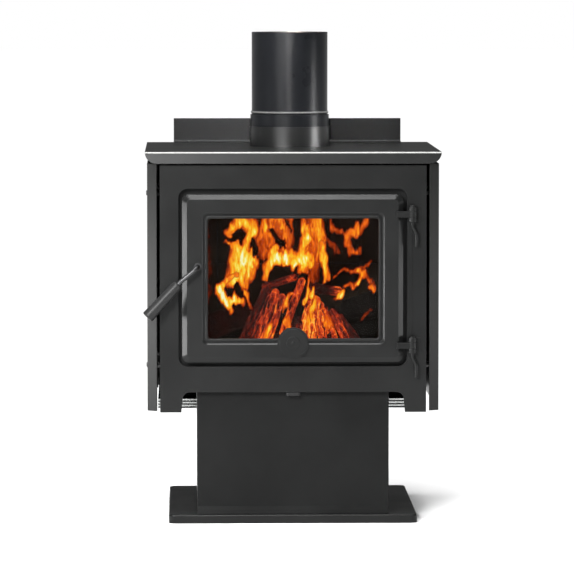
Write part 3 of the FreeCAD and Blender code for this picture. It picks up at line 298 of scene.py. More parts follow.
def fold_highlight_mask(g):
    """Rises from 0 to 1 on the front fold of the top plate, where a painted highlight lies."""
    low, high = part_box("top_plate")
    fold_y = low.y + LIP_LEAN
    parts = g.add("ShaderNodeSeparateXYZ")
    g.feed(parts.inputs[0], g.place)
    forward = g.remap(parts.outputs["Y"], fold_y + FOLD_SIZE, fold_y + FOLD_SIZE / 2)
    upward = g.remap(parts.outputs["Z"], high.z - FOLD_SIZE, high.z - FOLD_SIZE / 2)
    return g.math("MULTIPLY", forward, upward)


def bead_highlight_mask(g):
    """Rises from 0 to a faint painted highlight on the rolled bead of the pipe."""
    parts = g.add("ShaderNodeSeparateXYZ")
    g.feed(parts.inputs[0], g.place)
    away = g.math("ABSOLUTE", g.math("SUBTRACT", parts.outputs["Z"], BEAD_PLACE))
    return g.remap(away, BEAD_HALF, BEAD_CORE, 0.0, BEAD_HIGHLIGHT)


def painted_steel(name, colour, roughness, grain, specular=0.16, wear=0.5, worn_at=None):
    """Heat-resistant paint: fine grain, slow mottling, an uneven sheen and rubbed edges.

    The optional mask argument is made from the graph; where it rises, a pale grey painted highlight is
    laid over the paint.
    """
    g = Graph(name)
    mottle = g.noise(7.0, detail=5.0, rough=0.6)
    cloud = g.noise(38.0, detail=3.0)
    tone = g.mix(g.remap(mottle, 0.35, 0.65), tinted(colour, 0.86), tinted(colour, 1.12))
    tone = g.mix(g.remap(cloud, 0.55, 0.8, 0.0, 0.35), tone, tinted(colour, 1.3))
    rounded = g.rounding(1.2 * MM)
    broken = g.remap(g.noise(160.0, detail=4.0, rough=0.7), 0.42, 0.62)
    rubbed = g.math("MULTIPLY", g.edge_mask(rounded), broken)
    rubbed = g.math("MULTIPLY", rubbed, wear)
    tone = g.mix(rubbed, tone, tinted(colour, 3.2))
    if worn_at:
        # painted highlight: pale grey mixed into the paint where the mask rises, broken up by noise
        painted_highlight = g.math("MULTIPLY", worn_at(g), g.remap(broken, 0.0, 1.0, 0.75, 1.0))
        tone = g.mix(painted_highlight, tone, PAINTED_HIGHLIGHT_GREY)
    rough = g.remap(mottle, 0.3, 0.7, roughness - 0.03, roughness + 0.04)
    fine = g.noise(grain, detail=2.0, rough=0.6)
    broad = g.noise(55.0, detail=2.0)
    height = g.math("ADD", fine, g.math("MULTIPLY", broad, 0.8))
    g.set(base_color=tone, roughness=rough, normal=g.bump(height, 0.25, 0.05 * MM, rounded))
    g.set(specular_ior_level=specular)
    return g.material


def bare_metal(name, colour, roughness, streak, tint=None):
    """Bare steel with fine drawn streaks, darker patches and an optional heat tint."""
    g = Graph(name)
    drawn = g.noise(220.0, detail=4.0, rough=0.7, place=g.stretched(streak))
    patch = g.noise(24.0, detail=4.0, rough=0.6)
    tone = g.mix(g.remap(patch, 0.35, 0.7), tinted(colour, 0.72), tinted(colour, 1.1))
    if tint:
        tone = g.mix(g.remap(g.noise(9.0, detail=3.0), 0.45, 0.7, 0.0, 0.6), tone, (*tint, 1.0))
    rough = g.remap(drawn, 0.3, 0.7, roughness - 0.07, roughness + 0.1)
    rounded = g.rounding(0.5 * MM)
    g.set(base_color=tone, roughness=rough, normal=g.bump(drawn, 0.25, 0.1 * MM, rounded))
    g.set(metallic=1.0)
    return g.material


def galvanised(name, colour):
    """Zinc coating: a mosaic of crystals, each a slightly different grey and sheen."""
    g = Graph(name)
    crystal = g.cells(85.0, output="Color")
    grey = g.add("ShaderNodeRGBToBW")
    g.feed(grey.inputs[0], crystal)
    tone = g.mix(g.remap(grey.outputs[0], 0.2, 0.8), tinted(colour, 0.8), tinted(colour, 1.15))
    stain = g.noise(14.0, detail=4.0, rough=0.65)
    tone = g.mix(g.remap(stain, 0.5, 0.75, 0.0, 0.4), tone, tinted(colour, 0.55))
    rough = g.remap(grey.outputs[0], 0.2, 0.8, 0.26, 0.44)
    g.set(base_color=tone, roughness=rough, normal=g.bump(grey.outputs[0], 0.12, 0.1 * MM))
    g.set(metallic=1.0)
    return g.material


def sooty_ceramic(name, colour, soot, grain, grit_depth):
    """Firebrick or fibre board: a pale gritty body under uneven soot."""
    g = Graph(name)
    grit = g.noise(grain, detail=5.0, rough=0.75)
    body = g.mix(g.remap(grit, 0.35, 0.65), tinted(colour, 0.7), tinted(colour, 1.15))
    smoke = g.noise(11.0, detail=5.0, rough=0.6)
    pores = g.cells(grain * 0.35)
    body = g.mix(g.remap(pores, 0.0, 0.16, 0.55, 0.0), body, tinted(colour, 0.25))
    body = g.mix(g.remap(smoke, 0.28, 0.62, soot, 0.9 * soot), body, SOOT_BLACK)
    height = g.math("ADD", grit, g.remap(pores, 0.0, 0.2, -0.6, 0.0))
    g.set(base_color=body, roughness=g.remap(smoke, 0.3, 0.7, 0.86, 0.97))
    g.set(normal=g.bump(height, 0.7, grit_depth), specular_ior_level=0.04)
    return g.material


def stove_glass(name):
    """Clear ceramic glass with a thin uneven haze and a faint reflection."""
    g = Graph(name)
    haze = g.noise(9.0, detail=4.0, rough=0.6)
    g.set(base_color=g.mix(haze, (0.006, 0.005, 0.004, 1.0), (0.02, 0.016, 0.012, 1.0)))
    g.set(alpha=g.remap(haze, 0.3, 0.7, 0.03, 0.06), roughness=0.04, specular_ior_level=0.5)
    return g.material


def knitted_rope(name, colour):
    """Glass-fibre rope: pale crossing yarns with grey between them."""
    g = Graph(name)
    fibre = g.noise(900.0, detail=3.0, rough=0.7, place=g.stretched((1.0, 0.35, 1.0)))
    stain = g.noise(20.0, detail=4.0)
    tone = g.mix(g.remap(fibre, 0.35, 0.65), tinted(colour, 0.5), tinted(colour, 1.35))
    tone = g.mix(g.remap(stain, 0.45, 0.75, 0.0, 0.7), tone, (0.03, 0.026, 0.022, 1.0))
    g.set(base_color=tone, roughness=0.95, normal=g.bump(fibre, 0.6, 0.4 * MM))
    g.set(sheen_weight=0.2)
    return g.material


FINISHES = {
    "stove_paint": painted_steel("satin_black_paint", STOVE_BLACK, 0.32, 900.0),
    "shield_paint": painted_steel("satin_shield_paint", (0.0080, 0.0082, 0.0078), 0.34, 900.0),
    "cast_paint": painted_steel("cast_black_paint", (0.0068, 0.0070, 0.0069), 0.32, 520.0, wear=0.7),
    "pipe_paint": painted_steel("pipe_black_paint", PIPE_BLACK, 0.30, 1200.0, specular=0.09),
    "grip_paint": painted_steel("grip_black_paint", (0.014, 0.014, 0.014), 0.36, 1400.0),
    "handle_steel": bare_metal("blackened_handle_steel", (0.055, 0.055, 0.056), 0.42, (1.0, 1.0, 0.1)),
    "fixings": bare_metal("blackened_fixings", (0.09, 0.09, 0.09), 0.45, (1.0, 1.0, 1.0)),
    "stainless_steel": bare_metal(
        "heat_tinted_stainless", (0.36, 0.33, 0.30), 0.36, (1.0, 0.08, 1.0), tint=(0.12, 0.07, 0.05)
    ),
    "galvanised_steel": galvanised("galvanised_steel", PALE_GREY),
    "firebrick": sooty_ceramic("sooty_firebrick", (0.30, 0.23, 0.16), 0.99, 420.0, 0.8 * MM),
    "baffle_board": sooty_ceramic("sooty_fibre_board", (0.50, 0.45, 0.37), 0.94, 700.0, 0.5 * MM),
    "window_glass": stove_glass("stove_window_glass"),
    "rope_seal": knitted_rope("rope_seal_fibre", (0.22, 0.21, 0.20)),
}
# A copy of the stove paint with a lower specular level, so the pedestal looks darker: painted shade for
# the shadow that the body casts on it.
PEDESTAL_SHADE_PAINT = painted_steel("dull_pedestal_paint", STOVE_BLACK, 0.34, 900.0, specular=0.08)
# Nodes whose finish differs a little from the rest of their material slot
OWN_FINISHES = {
    "pedestal_front": PEDESTAL_SHADE_PAINT,
    "pedestal_left": PEDESTAL_SHADE_PAINT,
    "pedestal_right": PEDESTAL_SHADE_PAINT,
    # the front fold of the top plate carries a painted highlight of pale grey
    "top_plate": painted_steel(
        "satin_top_paint", STOVE_BLACK, 0.32, 900.0, specular=0.24, worn_at=fold_highlight_mask
    ),
    "flue_collar": painted_steel("satin_collar_paint", STOVE_BLACK, 0.30, 900.0, specular=0.28),
    # the rolled bead of the pipe carries a faint painted highlight all round
    "pipe_outer_wall": painted_steel(
        "pipe_wall_paint", PIPE_BLACK, 0.30, 1200.0, specular=0.09, worn_at=bead_highlight_mask
    ),
}


def dress_cad_nodes():
    """Gives every CAD node its own finish, or that of the material slot named in the record."""
    for part in frame["record"]["subparts"]:
        node = part["node"]
        materials = frame["nodes"][node].data.materials
        materials.clear()
        materials.append(OWN_FINISHES.get(node, FINISHES[part["material_slot"]]))


# ---------------------------------------------------------------- studio


def make_camera():
    data = bpy.data.cameras.new("camera")
    data.lens = CAMERA_LENS_MM
    data.sensor_width = CAMERA_SENSOR_MM
    data.clip_end = 2.0 * FLOOR_RADIUS
    camera = bpy.data.objects.new("camera", data)
    camera.location = CAMERA_PLACE
    aim = Vector(CAMERA_TARGET) - Vector(CAMERA_PLACE)
    camera.rotation_euler = aim.to_track_quat("-Z", "Y").to_euler()
    bpy.context.scene.collection.objects.link(camera)
    bpy.context.scene.camera = camera


def make_floor():
    """A plain pale floor with a barely visible unevenness."""
    mesh = bpy.data.meshes.new("studio_floor")
    shape = bmesh.new()
    bmesh.ops.create_circle(shape, cap_ends=True, segments=96, radius=FLOOR_RADIUS)
    shape.to_mesh(mesh)
    shape.free()
    floor = bpy.data.objects.new("studio_floor", mesh)
    bpy.context.scene.collection.objects.link(floor)
    g = Graph("studio_floor_paper")
    cloud = g.noise(3.0, detail=3.0)
    tone = g.mix(cloud, (FLOOR_TONE,) * 3 + (1.0,), (FLOOR_TONE + 0.02,) * 3 + (1.0,))
    g.set(base_color=tone, roughness=0.9, specular_ior_level=0.1)
    mesh.materials.append(g.material)


def make_lights():
    for name, place, target, size, power, spread in SOFT_LIGHTS:
        data = bpy.data.lights.new(name, "AREA")
        data.shape = "RECTANGLE"
        data.size, data.size_y = size
        data.energy = power
        data.spread = spread
        light = bpy.data.objects.new(name, data)
        light.location = place
        aim = Vector(target) - Vector(place)
        light.rotation_euler = aim.to_track_quat("-Z", "Y").to_euler()
        light.visible_camera = False
        bpy.context.scene.collection.objects.link(light)
    data = bpy.data.lights.new("overhead_light", "SUN")
    data.energy = SUN_POWER
    data.angle = SUN_SPREAD
    sun = bpy.data.objects.new("overhead_light", data)
    bpy.context.scene.collection.objects.link(sun)


def make_world():
    """Even surroundings: white where the camera looks past the floor, softer as a light."""
    world = bpy.data.worlds.new("studio")
    bpy.context.scene.world = world
    world.use_nodes = True
    tree = world.node_tree
    tree.nodes.clear()
    output = tree.nodes.new("ShaderNodeOutputWorld")
    chooser = tree.nodes.new("ShaderNodeMixShader")
    path = tree.nodes.new("ShaderNodeLightPath")
    tree.links.new(path.outputs["Is Camera Ray"], chooser.inputs["Fac"])
    for slot, strength in ((1, AMBIENT), (2, BACKGROUND)):
        background = tree.nodes.new("ShaderNodeBackground")
        background.inputs["Strength"].default_value = strength
        background.inputs["Color"].default_value = (1.0, 1.0, 1.0, 1.0)
        tree.links.new(background.outputs[0], chooser.inputs[slot])
    tree.links.new(chooser.outputs[0], output.inputs["Surface"])


# ---------------------------------------------------------------- meshes


def add_piece(name, points, faces, material, body, uvs=None, heat=None):
    """Makes a mesh piece that rides on a body; uvs and heat are given for each point."""
    mesh = bpy.data.meshes.new(name)
    mesh.from_pydata(points, [], faces)
    mesh.materials.append(material)
    if uvs:
        layer = mesh.uv_layers.new(name="UVMap")
        for loop in mesh.loops:
            layer.data[loop.index].uv = uvs[loop.vertex_index]
    if heat:
        attribute = mesh.attributes.new(HEAT_LAYER, "FLOAT", "POINT")
        attribute.data.foreach_set("value", heat)
    mesh.shade_smooth()
    piece = bpy.data.objects.new(name, mesh)
    bpy.context.scene.collection.objects.link(piece)
    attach(piece, body)
    return piece


def clamped(value, low, high):
    return max(low, min(high, value))


def smooth_path(points, steps):
    """Points of any dimension joined by a smooth curve through all of them."""
    padded = [points[0], *points, points[-1]]
    path = []
    for before, start, end, after in zip(padded, padded[1:], padded[2:], padded[3:]):
        for step in range(steps):
            t = step / steps
            path.append(
                tuple(
                    0.5 * (2 * b + (c - a) * t + (2 * a - 5 * b + 4 * c - d) * t * t
                           + (3 * b - a - 3 * c + d) * t ** 3)
                    for a, b, c, d in zip(before, start, end, after)
                )
            )
    path.append(tuple(points[-1]))
    return path


# ---------------------------------------------------------------- fire

# The fire is three upright sheets, one behind another. Each sheet has its depth and its flames. A flame
# is a spine from root to tip, with points (x, z, half width, heat). Lengths are in mm.
FLAME_SHEETS = {
    "front": (-45, (
        ((-136, 432, 4, .75), (-135, 446, 9, 1.0), (-146, 464, 13, 1.35), (-152, 480, 12, 1.45),
         (-150, 494, 8, 1.15), (-138, 508, 8, .95), (-118, 516, 7, .8)),
        ((-144, 468, 7, 1.0), (-124, 464, 8, .95), (-108, 457, 7, .8), (-103, 446, 4, .5)),
        ((-124, 470, 6, .9), (-110, 482, 7, .9), (-98, 474, 7, .85), (-90, 458, 5, .7),
         (-88, 446, 3, .4)),
        ((-9, 398, 7, .9), (-8, 412, 8, 1.05), (-4, 428, 4, .6)),
        ((-14, 436, 3, .6), (-9, 452, 5, .95), (-2, 468, 4, .9), (4, 480, 2, .5)),
        ((34, 390, 12, .75), (42, 415, 13, .9), (48, 440, 9, .85), (52, 462, 4, .6)),
        ((66, 384, 14, .6), (78, 410, 13, .62), (80, 430, 8, .5)),
        ((-54, 374, 7, .7), (-48, 392, 9, .8), (-43, 408, 5, .6)),
        ((34, 462, 4, .8), (37, 480, 7, 1.05), (36, 496, 5, .9), (42, 508, 3, .5)),
        ((44, 464, 4, .8), (47, 476, 6, .95), (50, 486, 3, .6)),
        ((96, 468, 5, .8), (106, 474, 8, 1.1), (115, 480, 4, .8)),
    )),
    "middle": (-5, (
        ((-124, 498, 14, .9), (-114, 520, 22, 1.05), (-110, 545, 26, 1.12), (-118, 568, 18, 1.0),
         (-134, 580, 7, .8), (-148, 586, 3, .5)),
        ((-100, 494, 14, .85), (-92, 520, 20, 1.0), (-86, 545, 18, 1.1), (-84, 562, 9, .9),
         (-78, 572, 4, .6)),
        ((-110, 540, 16, 1.0), (-104, 566, 15, 1.0), (-96, 586, 10, .95), (-84, 598, 8, .85)),
        ((-88, 592, 10, .8), (-80, 606, 15, .85), (-80, 624, 15, .8), (-84, 644, 12, .75)),
        ((-84, 606, 12, .8), (-98, 620, 15, .95), (-112, 630, 15, .95), (-106, 646, 12, .8)),
        ((-108, 624, 12, .85), (-128, 616, 13, .9), (-138, 604, 9, .85), (-130, 594, 5, .6)),
        ((-58, 500, 7, .9), (-54, 516, 11, .95), (-46, 536, 15, 1.05), (-26, 546, 17, 1.15),
         (-6, 550, 18, 1.25), (20, 550, 18, 1.25), (36, 540, 13, 1.1), (38, 556, 9, .95)),
        ((-42, 540, 10, .95), (-38, 560, 12, 1.05), (-30, 574, 6, .7)),
        ((-6, 552, 8, 1.1), (-8, 568, 7, 1.0), (-4, 580, 3, .6)),
        ((6, 548, 8, 1.15), (7, 530, 7, 1.05), (6, 516, 3, .7)),
        ((24, 545, 10, 1.1), (26, 526, 8, .9), (22, 508, 4, .6)),
        ((20, 556, 10, 1.0), (30, 580, 8, .85), (34, 602, 10, 1.1), (28, 622, 7, .85), (24, 646, 5, .7)),
        ((34, 600, 8, 1.0), (44, 590, 6, .8), (46, 574, 5, .6)),
        ((74, 500, 5, .8), (79, 518, 9, .98), (72, 540, 9, .95), (66, 560, 8, .8), (64, 580, 6, .6)),
    )),
    "back": (45, (
        ((-52, 560, 20, .52), (-48, 590, 25, .56), (-44, 620, 24, .56), (-40, 650, 20, .5)),
        ((-14, 560, 22, .55), (-8, 590, 22, .52), (-6, 620, 20, .5), (-6, 650, 16, .42)),
        ((36, 560, 22, .6), (46, 590, 22, .56), (52, 620, 20, .52), (54, 650, 14, .45)),
        ((58, 556, 14, .7), (66, 586, 13, .78), (64, 612, 11, .75), (58, 646, 8, .62)),
        ((-66, 596, 10, .6), (-58, 620, 10, .66), (-52, 648, 9, .55)),
        ((-18, 610, 9, .62), (-22, 630, 9, .66), (-34, 646, 8, .55)),
        ((52, 498, 13, .4), (54, 522, 15, .44), (56, 548, 14, .5)),
        ((122, 598, 9, .42), (132, 600, 12, .72), (144, 606, 10, .78), (150, 622, 6, .55)),
        ((126, 592, 10, .6), (124, 576, 8, .55), (134, 562, 7, .5), (148, 560, 7, .55),
         (154, 572, 6, .5)),
        ((140, 598, 8, .55), (156, 604, 7, .58), (166, 622, 6, .55), (172, 642, 5, .42)),
        ((84, 640, 6, .42), (92, 618, 7, .46), (110, 604, 7, .45), (122, 596, 6, .5)),
        ((86, 584, 8, .35), (98, 570, 7, .32), (104, 552, 5, .25)),
        ((100, 508, 4, .42), (120, 514, 5, .5), (142, 516, 5, .5), (160, 524, 4, .45),
         (176, 538, 4, .38)),
        ((150, 520, 5, .75), (160, 508, 7, .95), (154, 494, 6, .85), (138, 486, 5, .65),
         (122, 484, 4, .5)),
        ((160, 514, 5, .6), (172, 500, 4, .5), (182, 492, 4, .4)),
        ((180, 486, 7, .75), (186, 478, 7, .7)),
        ((158, 412, 3, .24), (168, 424, 5, .34), (178, 432, 3, .24)),
        ((-196, 380, 16, .20), (-195, 450, 20, .24), (-194, 530, 20, .22), (-192, 616, 14, .15)),
    )),
}
# Dark gaps cut out of the flames of every sheet, drawn in the same way
FLAME_GAPS = (
    ((-132, 592, 3, 1.2), (-118, 590, 6, 1.6), (-104, 595, 3, 1.0)),
    ((-82, 592, 3, 1.0), (-76, 576, 8, 1.6), (-78, 560, 4, 1.0)),
    ((-117, 492, 4, .8), (-115, 482, 8, 1.5), (-112, 474, 4, .8)),
    ((-46, 612, 3, .6), (-32, 598, 7, .9), (-16, 580, 6, .9), (-6, 572, 3, .6)),
    ((-30, 640, 3, .4), (-12, 628, 4, .5), (2, 606, 3, .5)),
    ((12, 640, 4, .5), (10, 616, 5, .6), (14, 592, 3, .4)),
    ((78, 640, 8, .9), (82, 610, 7, .9), (86, 590, 3, .5)),
    ((134, 582, 3, .7), (142, 578, 6, .9), (148, 584, 3, .6)),
)

# Where wood and embers glow: centre and radius in mm, then strength
HOT_SPOTS = (
    ((-50, -50, 384), 20, .35),
    ((-8, -50, 414), 13, .75),
    ((36, -54, 408), 26, .50),
    ((52, -30, 446), 22, .45),
    ((96, -40, 392), 28, .30),
    ((108, 20, 474), 14, 1.2),
    ((0, 10, 490), 18, .4),
    ((20, -80, 368), 46, .40),
)


def noise_grid(x, z, wide, tall, seed):
    """Smooth noise of about -1 to 1 at each grid point, with waves of some width and height."""
    spots = zip(x / wide, z / tall)
    return np.array([noise.noise(Vector((across, up, seed))) for across, up in spots])


def spine_heat(x, z, spine):
    """How hot one flame makes each grid point: its spine's heat, falling to nothing at its half width."""
    heat = np.zeros_like(x)
    for centre_x, centre_z, half, warmth in smooth_path(spine, SPINE_STEPS):
        reach = ((x - centre_x) ** 2 + (z - centre_z) ** 2) / half ** 2
        heat = np.maximum(heat, warmth * np.clip(1.0 - reach, 0.0, None) ** SPINE_FALLOFF)
    return heat


def sheet_heat(x, z, flames, seed):
    """The heat of all of a sheet's flames, swayed and torn into upright streaks."""
    sway_x = np.zeros_like(x)
    sway_z = np.zeros_like(x)
    for index, (far, wide, tall) in enumerate(FLAME_SWAYS):
        step = SWAY_SEED_STEP * index
        sway_x += far * noise_grid(x, z, wide, tall, seed + step)
        up_wide, up_seed = wide * SWAY_UP_WIDTH, seed + SWAY_UP_SEED + step
        sway_z += SWAY_UP * far * noise_grid(x, z, up_wide, tall, up_seed)
    moved_x = x + sway_x
    moved_z = z + sway_z
    powers = (spine_heat(moved_x, moved_z, spine) ** FLAME_BLEND for spine in flames)
    total = sum(powers) ** (1.0 / FLAME_BLEND)
    for gap in FLAME_GAPS:
        total = total - spine_heat(moved_x, moved_z, gap)
    streak_wide, streak_tall, streak_strength = FLAME_STREAKS
    thread_wide, thread_tall, thread_strength = FLAME_THREADS
    streaks = noise_grid(moved_x, moved_z, streak_wide, streak_tall, seed + STREAK_SEED)
    threads = noise_grid(moved_x, moved_z, thread_wide, thread_tall, seed + THREAD_SEED)
    torn = np.clip(1.0 - total, 0.0, 1.0)
    total = total * (1.0 + streak_strength * streaks + thread_strength * threads)
    return np.clip(total - FLAME_TEAR * torn * np.abs(threads), 0.0, None)


def flame_material():
    """Fire on a thin sheet: it goes from deep red to pale yellow with heat, and cool edges vanish."""
    g = Graph("fire")
    heat = g.add("ShaderNodeAttribute", attribute_name=HEAT_LAYER).outputs["Fac"]
    lick = g.noise(150.0, detail=5.0, rough=0.6, place=g.stretched((1.0, 1.0, 0.30)), distortion=0.7)
    thread = g.noise(420.0, detail=2.0, place=g.stretched((1.0, 1.0, 0.16)))
    level = g.math("MULTIPLY", heat, g.remap(lick, 0.30, 0.70, 0.62, 1.30))
    level = g.math("MULTIPLY", level, g.remap(thread, 0.3, 0.7, 0.90, 1.10))
    colour = g.ramp(
        g.math("DIVIDE", level, FIRE_RAMP_TOP),
        (
            (0.00, (0.480, 0.034, 0.004)),
            (0.14, (0.560, 0.046, 0.004)),
            (0.28, (0.700, 0.076, 0.005)),
            (0.40, (0.860, 0.140, 0.006)),
            (0.52, (0.970, 0.270, 0.008)),
            (0.64, (1.000, 0.460, 0.014)),
            (0.78, (1.000, 0.710, 0.045)),
            (0.91, (1.000, 0.880, 0.200)),
            (1.00, (1.000, 0.970, 0.600)),
        ),
    )
    g.set(base_color=(0.0, 0.0, 0.0, 1.0), emission_color=colour, emission_strength=1.0)
    g.set(alpha=g.remap(level, 0.03, 0.55), roughness=1.0, specular_ior_level=0.0)
    return g.material


def make_flame_sheet(name, depth, flames, seed, material):
    """One sheet of flames, bowed towards the window where it is hot and cut away where it is cold."""
    columns = round((FLAME_HIGH[0] - FLAME_LOW[0]) / FLAME_PITCH)
    rows = round((FLAME_HIGH[1] - FLAME_LOW[1]) / FLAME_PITCH)
    across = np.linspace(FLAME_LOW[0], FLAME_HIGH[0], columns + 1)
    upward = np.linspace(FLAME_LOW[1], FLAME_HIGH[1], rows + 1)
    x, z = (side.ravel() for side in np.meshgrid(across, upward))
    heat = sheet_heat(x, z, flames, seed)
    waver, waver_wide, waver_tall = FLAME_WAVER
    y = depth - FLAME_BULGE * np.minimum(heat, 1.0)
    y = y + waver * noise_grid(x, z, waver_wide, waver_tall, seed + WAVER_SEED)
    faces = []
    for row in range(rows):
        for column in range(columns):
            corner = row * (columns + 1) + column
            side = (corner, corner + 1, corner + columns + 2, corner + columns + 1)
            if max(heat[index] for index in side) > COLDEST:
                faces.append(side)
    used = sorted({index for side in faces for index in side})
    place = {index: order for order, index in enumerate(used)}
    points = [(x[i] * MM, y[i] * MM, z[i] * MM) for i in used]
    faces = [tuple(place[index] for index in side) for side in faces]
    heat = [heat[i] for i in used]
    add_piece("flames_" + name, points, faces, material, "stove", heat=heat)


def glow_at(point):
    """How hot the wood is at a point, from the hot spots near it."""
    total = 0.0
    for centre, radius, strength in HOT_SPOTS:
        distance = (Vector(point) / MM - Vector(centre)).length
        total += strength * math.exp(-((distance / radius) ** 2))
    return total


def charred_wood():
    """Burnt wood: black scales and long fibres, with red heat between them where the wood is hot."""
    g = Graph("burning_wood")
    heat = g.add("ShaderNodeAttribute", attribute_name=HEAT_LAYER).outputs["Fac"]
    along = g.add("ShaderNodeUVMap").outputs["UV"]
    lengthwise = g.stretched((150.0, 34.0, 1.0), along)
    fibre = g.noise(1.0, detail=4.0, rough=0.65, place=lengthwise, distortion=0.6)
    scale = g.cells(88.0, feature="DISTANCE_TO_EDGE", place=g.stretched((1.0, 1.0, 0.7)))
    scale = g.remap(scale, 0.0, 0.10)
    grain = g.noise(180.0, detail=4.0, rough=0.7)
    ash = g.remap(g.noise(30.0, detail=5.0, rough=0.7), 0.5, 0.72, 0.0, 0.25)
    tone = g.mix(grain, (0.0015, 0.0012, 0.001, 1.0), (0.006, 0.005, 0.004, 1.0))
    tone = g.mix(ash, tone, (0.016, 0.014, 0.012, 1.0))
    level = g.math("MULTIPLY", heat, g.remap(fibre, 0.34, 0.64, 0.10, 1.30))
    level = g.math("MULTIPLY", level, g.remap(scale, 0.0, 1.0, 1.35, 0.75))
    glow = g.ramp(
        g.math("DIVIDE", level, FIRE_RAMP_TOP),
        (
            (0.00, (0.0, 0.0, 0.0)),
            (0.10, (0.030, 0.002, 0.001)),
            (0.22, (0.190, 0.012, 0.004)),
            (0.36, (0.550, 0.040, 0.007)),
            (0.52, (0.900, 0.110, 0.010)),
            (0.70, (1.000, 0.260, 0.018)),
            (1.00, (1.000, 0.480, 0.050)),
        ),
    )
    height = g.math("ADD", scale, g.math("MULTIPLY", fibre, 0.6))
    g.set(base_color=tone, emission_color=glow, emission_strength=1.05)
    g.set(roughness=0.92, specular_ior_level=0.06, normal=g.bump(height, 0.9, 1.6 * MM))
    return g.material


# Each log: one end, the other end and its radius in mm, then how hot it is
LOGS = {
    "lean_a": ((-74, -46, 352), (-30, -6, 482), 9, .50),
    "lean_b": ((-54, -58, 352), (-16, -16, 472), 8, .62),
    "lean_c": ((-30, -60, 352), (28, -4, 506), 9, .66),
    "lean_d": ((-112, -20, 352), (-46, 20, 488), 12, .22),
    "lean_e": ((-92, -34, 352), (-40, 6, 470), 8, .34),
    "fan_a": ((14, -66, 352), (48, -22, 462), 11, .66),
    "fan_b": ((40, -72, 350), (56, -24, 468), 11, .74),
    "fan_c": ((72, -66, 352), (62, -18, 456), 11, .66),
    "fan_d": ((100, -58, 352), (70, -14, 446), 10, .56),
    "fan_e": ((132, -48, 352), (90, -6, 438), 10, .42),
    "fan_f": ((158, -30, 352), (104, 6, 424), 10, .22),
    "arch": ((-62, 14, 484), (16, 22, 508), 8, .26),
    "stub": ((36, 34, 482), (114, 18, 474), 11, .14),
    "left": ((-196, 30, 386), (-84, 60, 430), 28, .04),
    "right": ((112, 66, 424), (206, 84, 446), 28, .0),
    "low_front": ((-176, -96, 346), (-92, -84, 352), 20, .04),
    "rear_left": ((-180, 120, 360), (30, 130, 372), 38, .0),
    "rear_right": ((-10, 140, 368), (200, 120, 400), 36, .0),
}


def make_log(name, start, end, radius, warmth, material):
    """A charred split log: an uneven prism with rounded, eaten-away ends."""
    start, end = Vector(start) * MM, Vector(end) * MM
    radius *= MM
    axis = (end - start).normalized()
    across = axis.cross(Vector((0.0, 0.0, 1.0))).normalized()
    up = across.cross(axis)
    length = (end - start).length
    bark_depth, bark_scale = LOG_BARK
    fine_depth, fine_scale = LOG_FINE_BARK
    wave_strength, wave_scale = LOG_HEAT_WAVE
    points, faces, heat, uvs = [], [], [], []
    for ring in range(LOG_ALONG + 1):
        along = ring / LOG_ALONG
        centre = start.lerp(end, along)
        closeness = min(along, 1.0 - along) * length / radius
        taper = math.sqrt(min(1.0, LOG_TIP + closeness * LOG_TAPER))
        for step in range(LOG_AROUND):
            angle = 2.0 * math.pi * step / LOG_AROUND
            direction = across * math.cos(angle) + up * math.sin(angle)
            split = 1.0 - LOG_SPLIT * max(0.0, math.cos(3.0 * angle + radius / MM)) ** 2
            place = centre + direction * radius
            bark = bark_depth * noise.noise(place * bark_scale)
            bark += fine_depth * noise.noise(place * fine_scale)
            point = centre + direction * radius * taper * (split + bark)
            points.append(tuple(point))
            uneven = 1.0 + wave_strength * noise.noise(place * wave_scale)
            heat.append(warmth * uneven + glow_at(point))
            uvs.append((abs(angle / math.pi - 1.0) * math.pi * radius, along * length))
    for ring in range(LOG_ALONG):
        for step in range(LOG_AROUND):
            near = ring * LOG_AROUND + step
            beside = ring * LOG_AROUND + (step + 1) % LOG_AROUND
            faces.append((near, beside, beside + LOG_AROUND, near + LOG_AROUND))
    for ring, order in ((0, -1), (LOG_ALONG, 1)):
        rim = [ring * LOG_AROUND + step for step in range(LOG_AROUND)]
        middle = sum((Vector(points[i]) for i in rim), Vector()) / LOG_AROUND
        points.append(tuple(middle))
        heat.append(warmth + glow_at(middle))
        uvs.append((0.0, ring / LOG_ALONG * length))
        for step in range(LOG_AROUND):
            side = (rim[step], rim[(step + 1) % LOG_AROUND])
            faces.append((len(points) - 1, *side[::order]))
    add_piece("log_" + name, points, faces, material, "stove", uvs, heat)


def ember_height(x, y):
    """Height of the ember bed, in mm, over a point of the firebox floor."""
    total = EMBER_FLOOR
    for height, (middle_x, middle_y), (reach_x, reach_y) in EMBER_HILLS:
        across, deep = (x - middle_x) / reach_x, (y - middle_y) / reach_y
        total += height * math.exp(-(across ** 2) - deep ** 2)
    return total


def ember_lump(index, centre, size, stretches):
    """One lump of charcoal: its points and faces."""
    shape = bmesh.new()
    bmesh.ops.create_icosphere(shape, subdivisions=2, radius=1.0)
    depth, scale = LUMP_UNEVENNESS
    aside = Vector((index * LUMP_SEED_STEP, 0.0, 0.0))
    points = []
    for vertex in shape.verts:
        lumpy = 1.0 + depth * noise.noise(vertex.co * scale + aside)
        shifted = Vector([part * stretch for part, stretch in zip(vertex.co * lumpy, stretches)])
        points.append(tuple(centre + shifted * size))
    faces = [tuple(vertex.index for vertex in face.verts) for face in shape.faces]
    shape.free()
    return points, faces


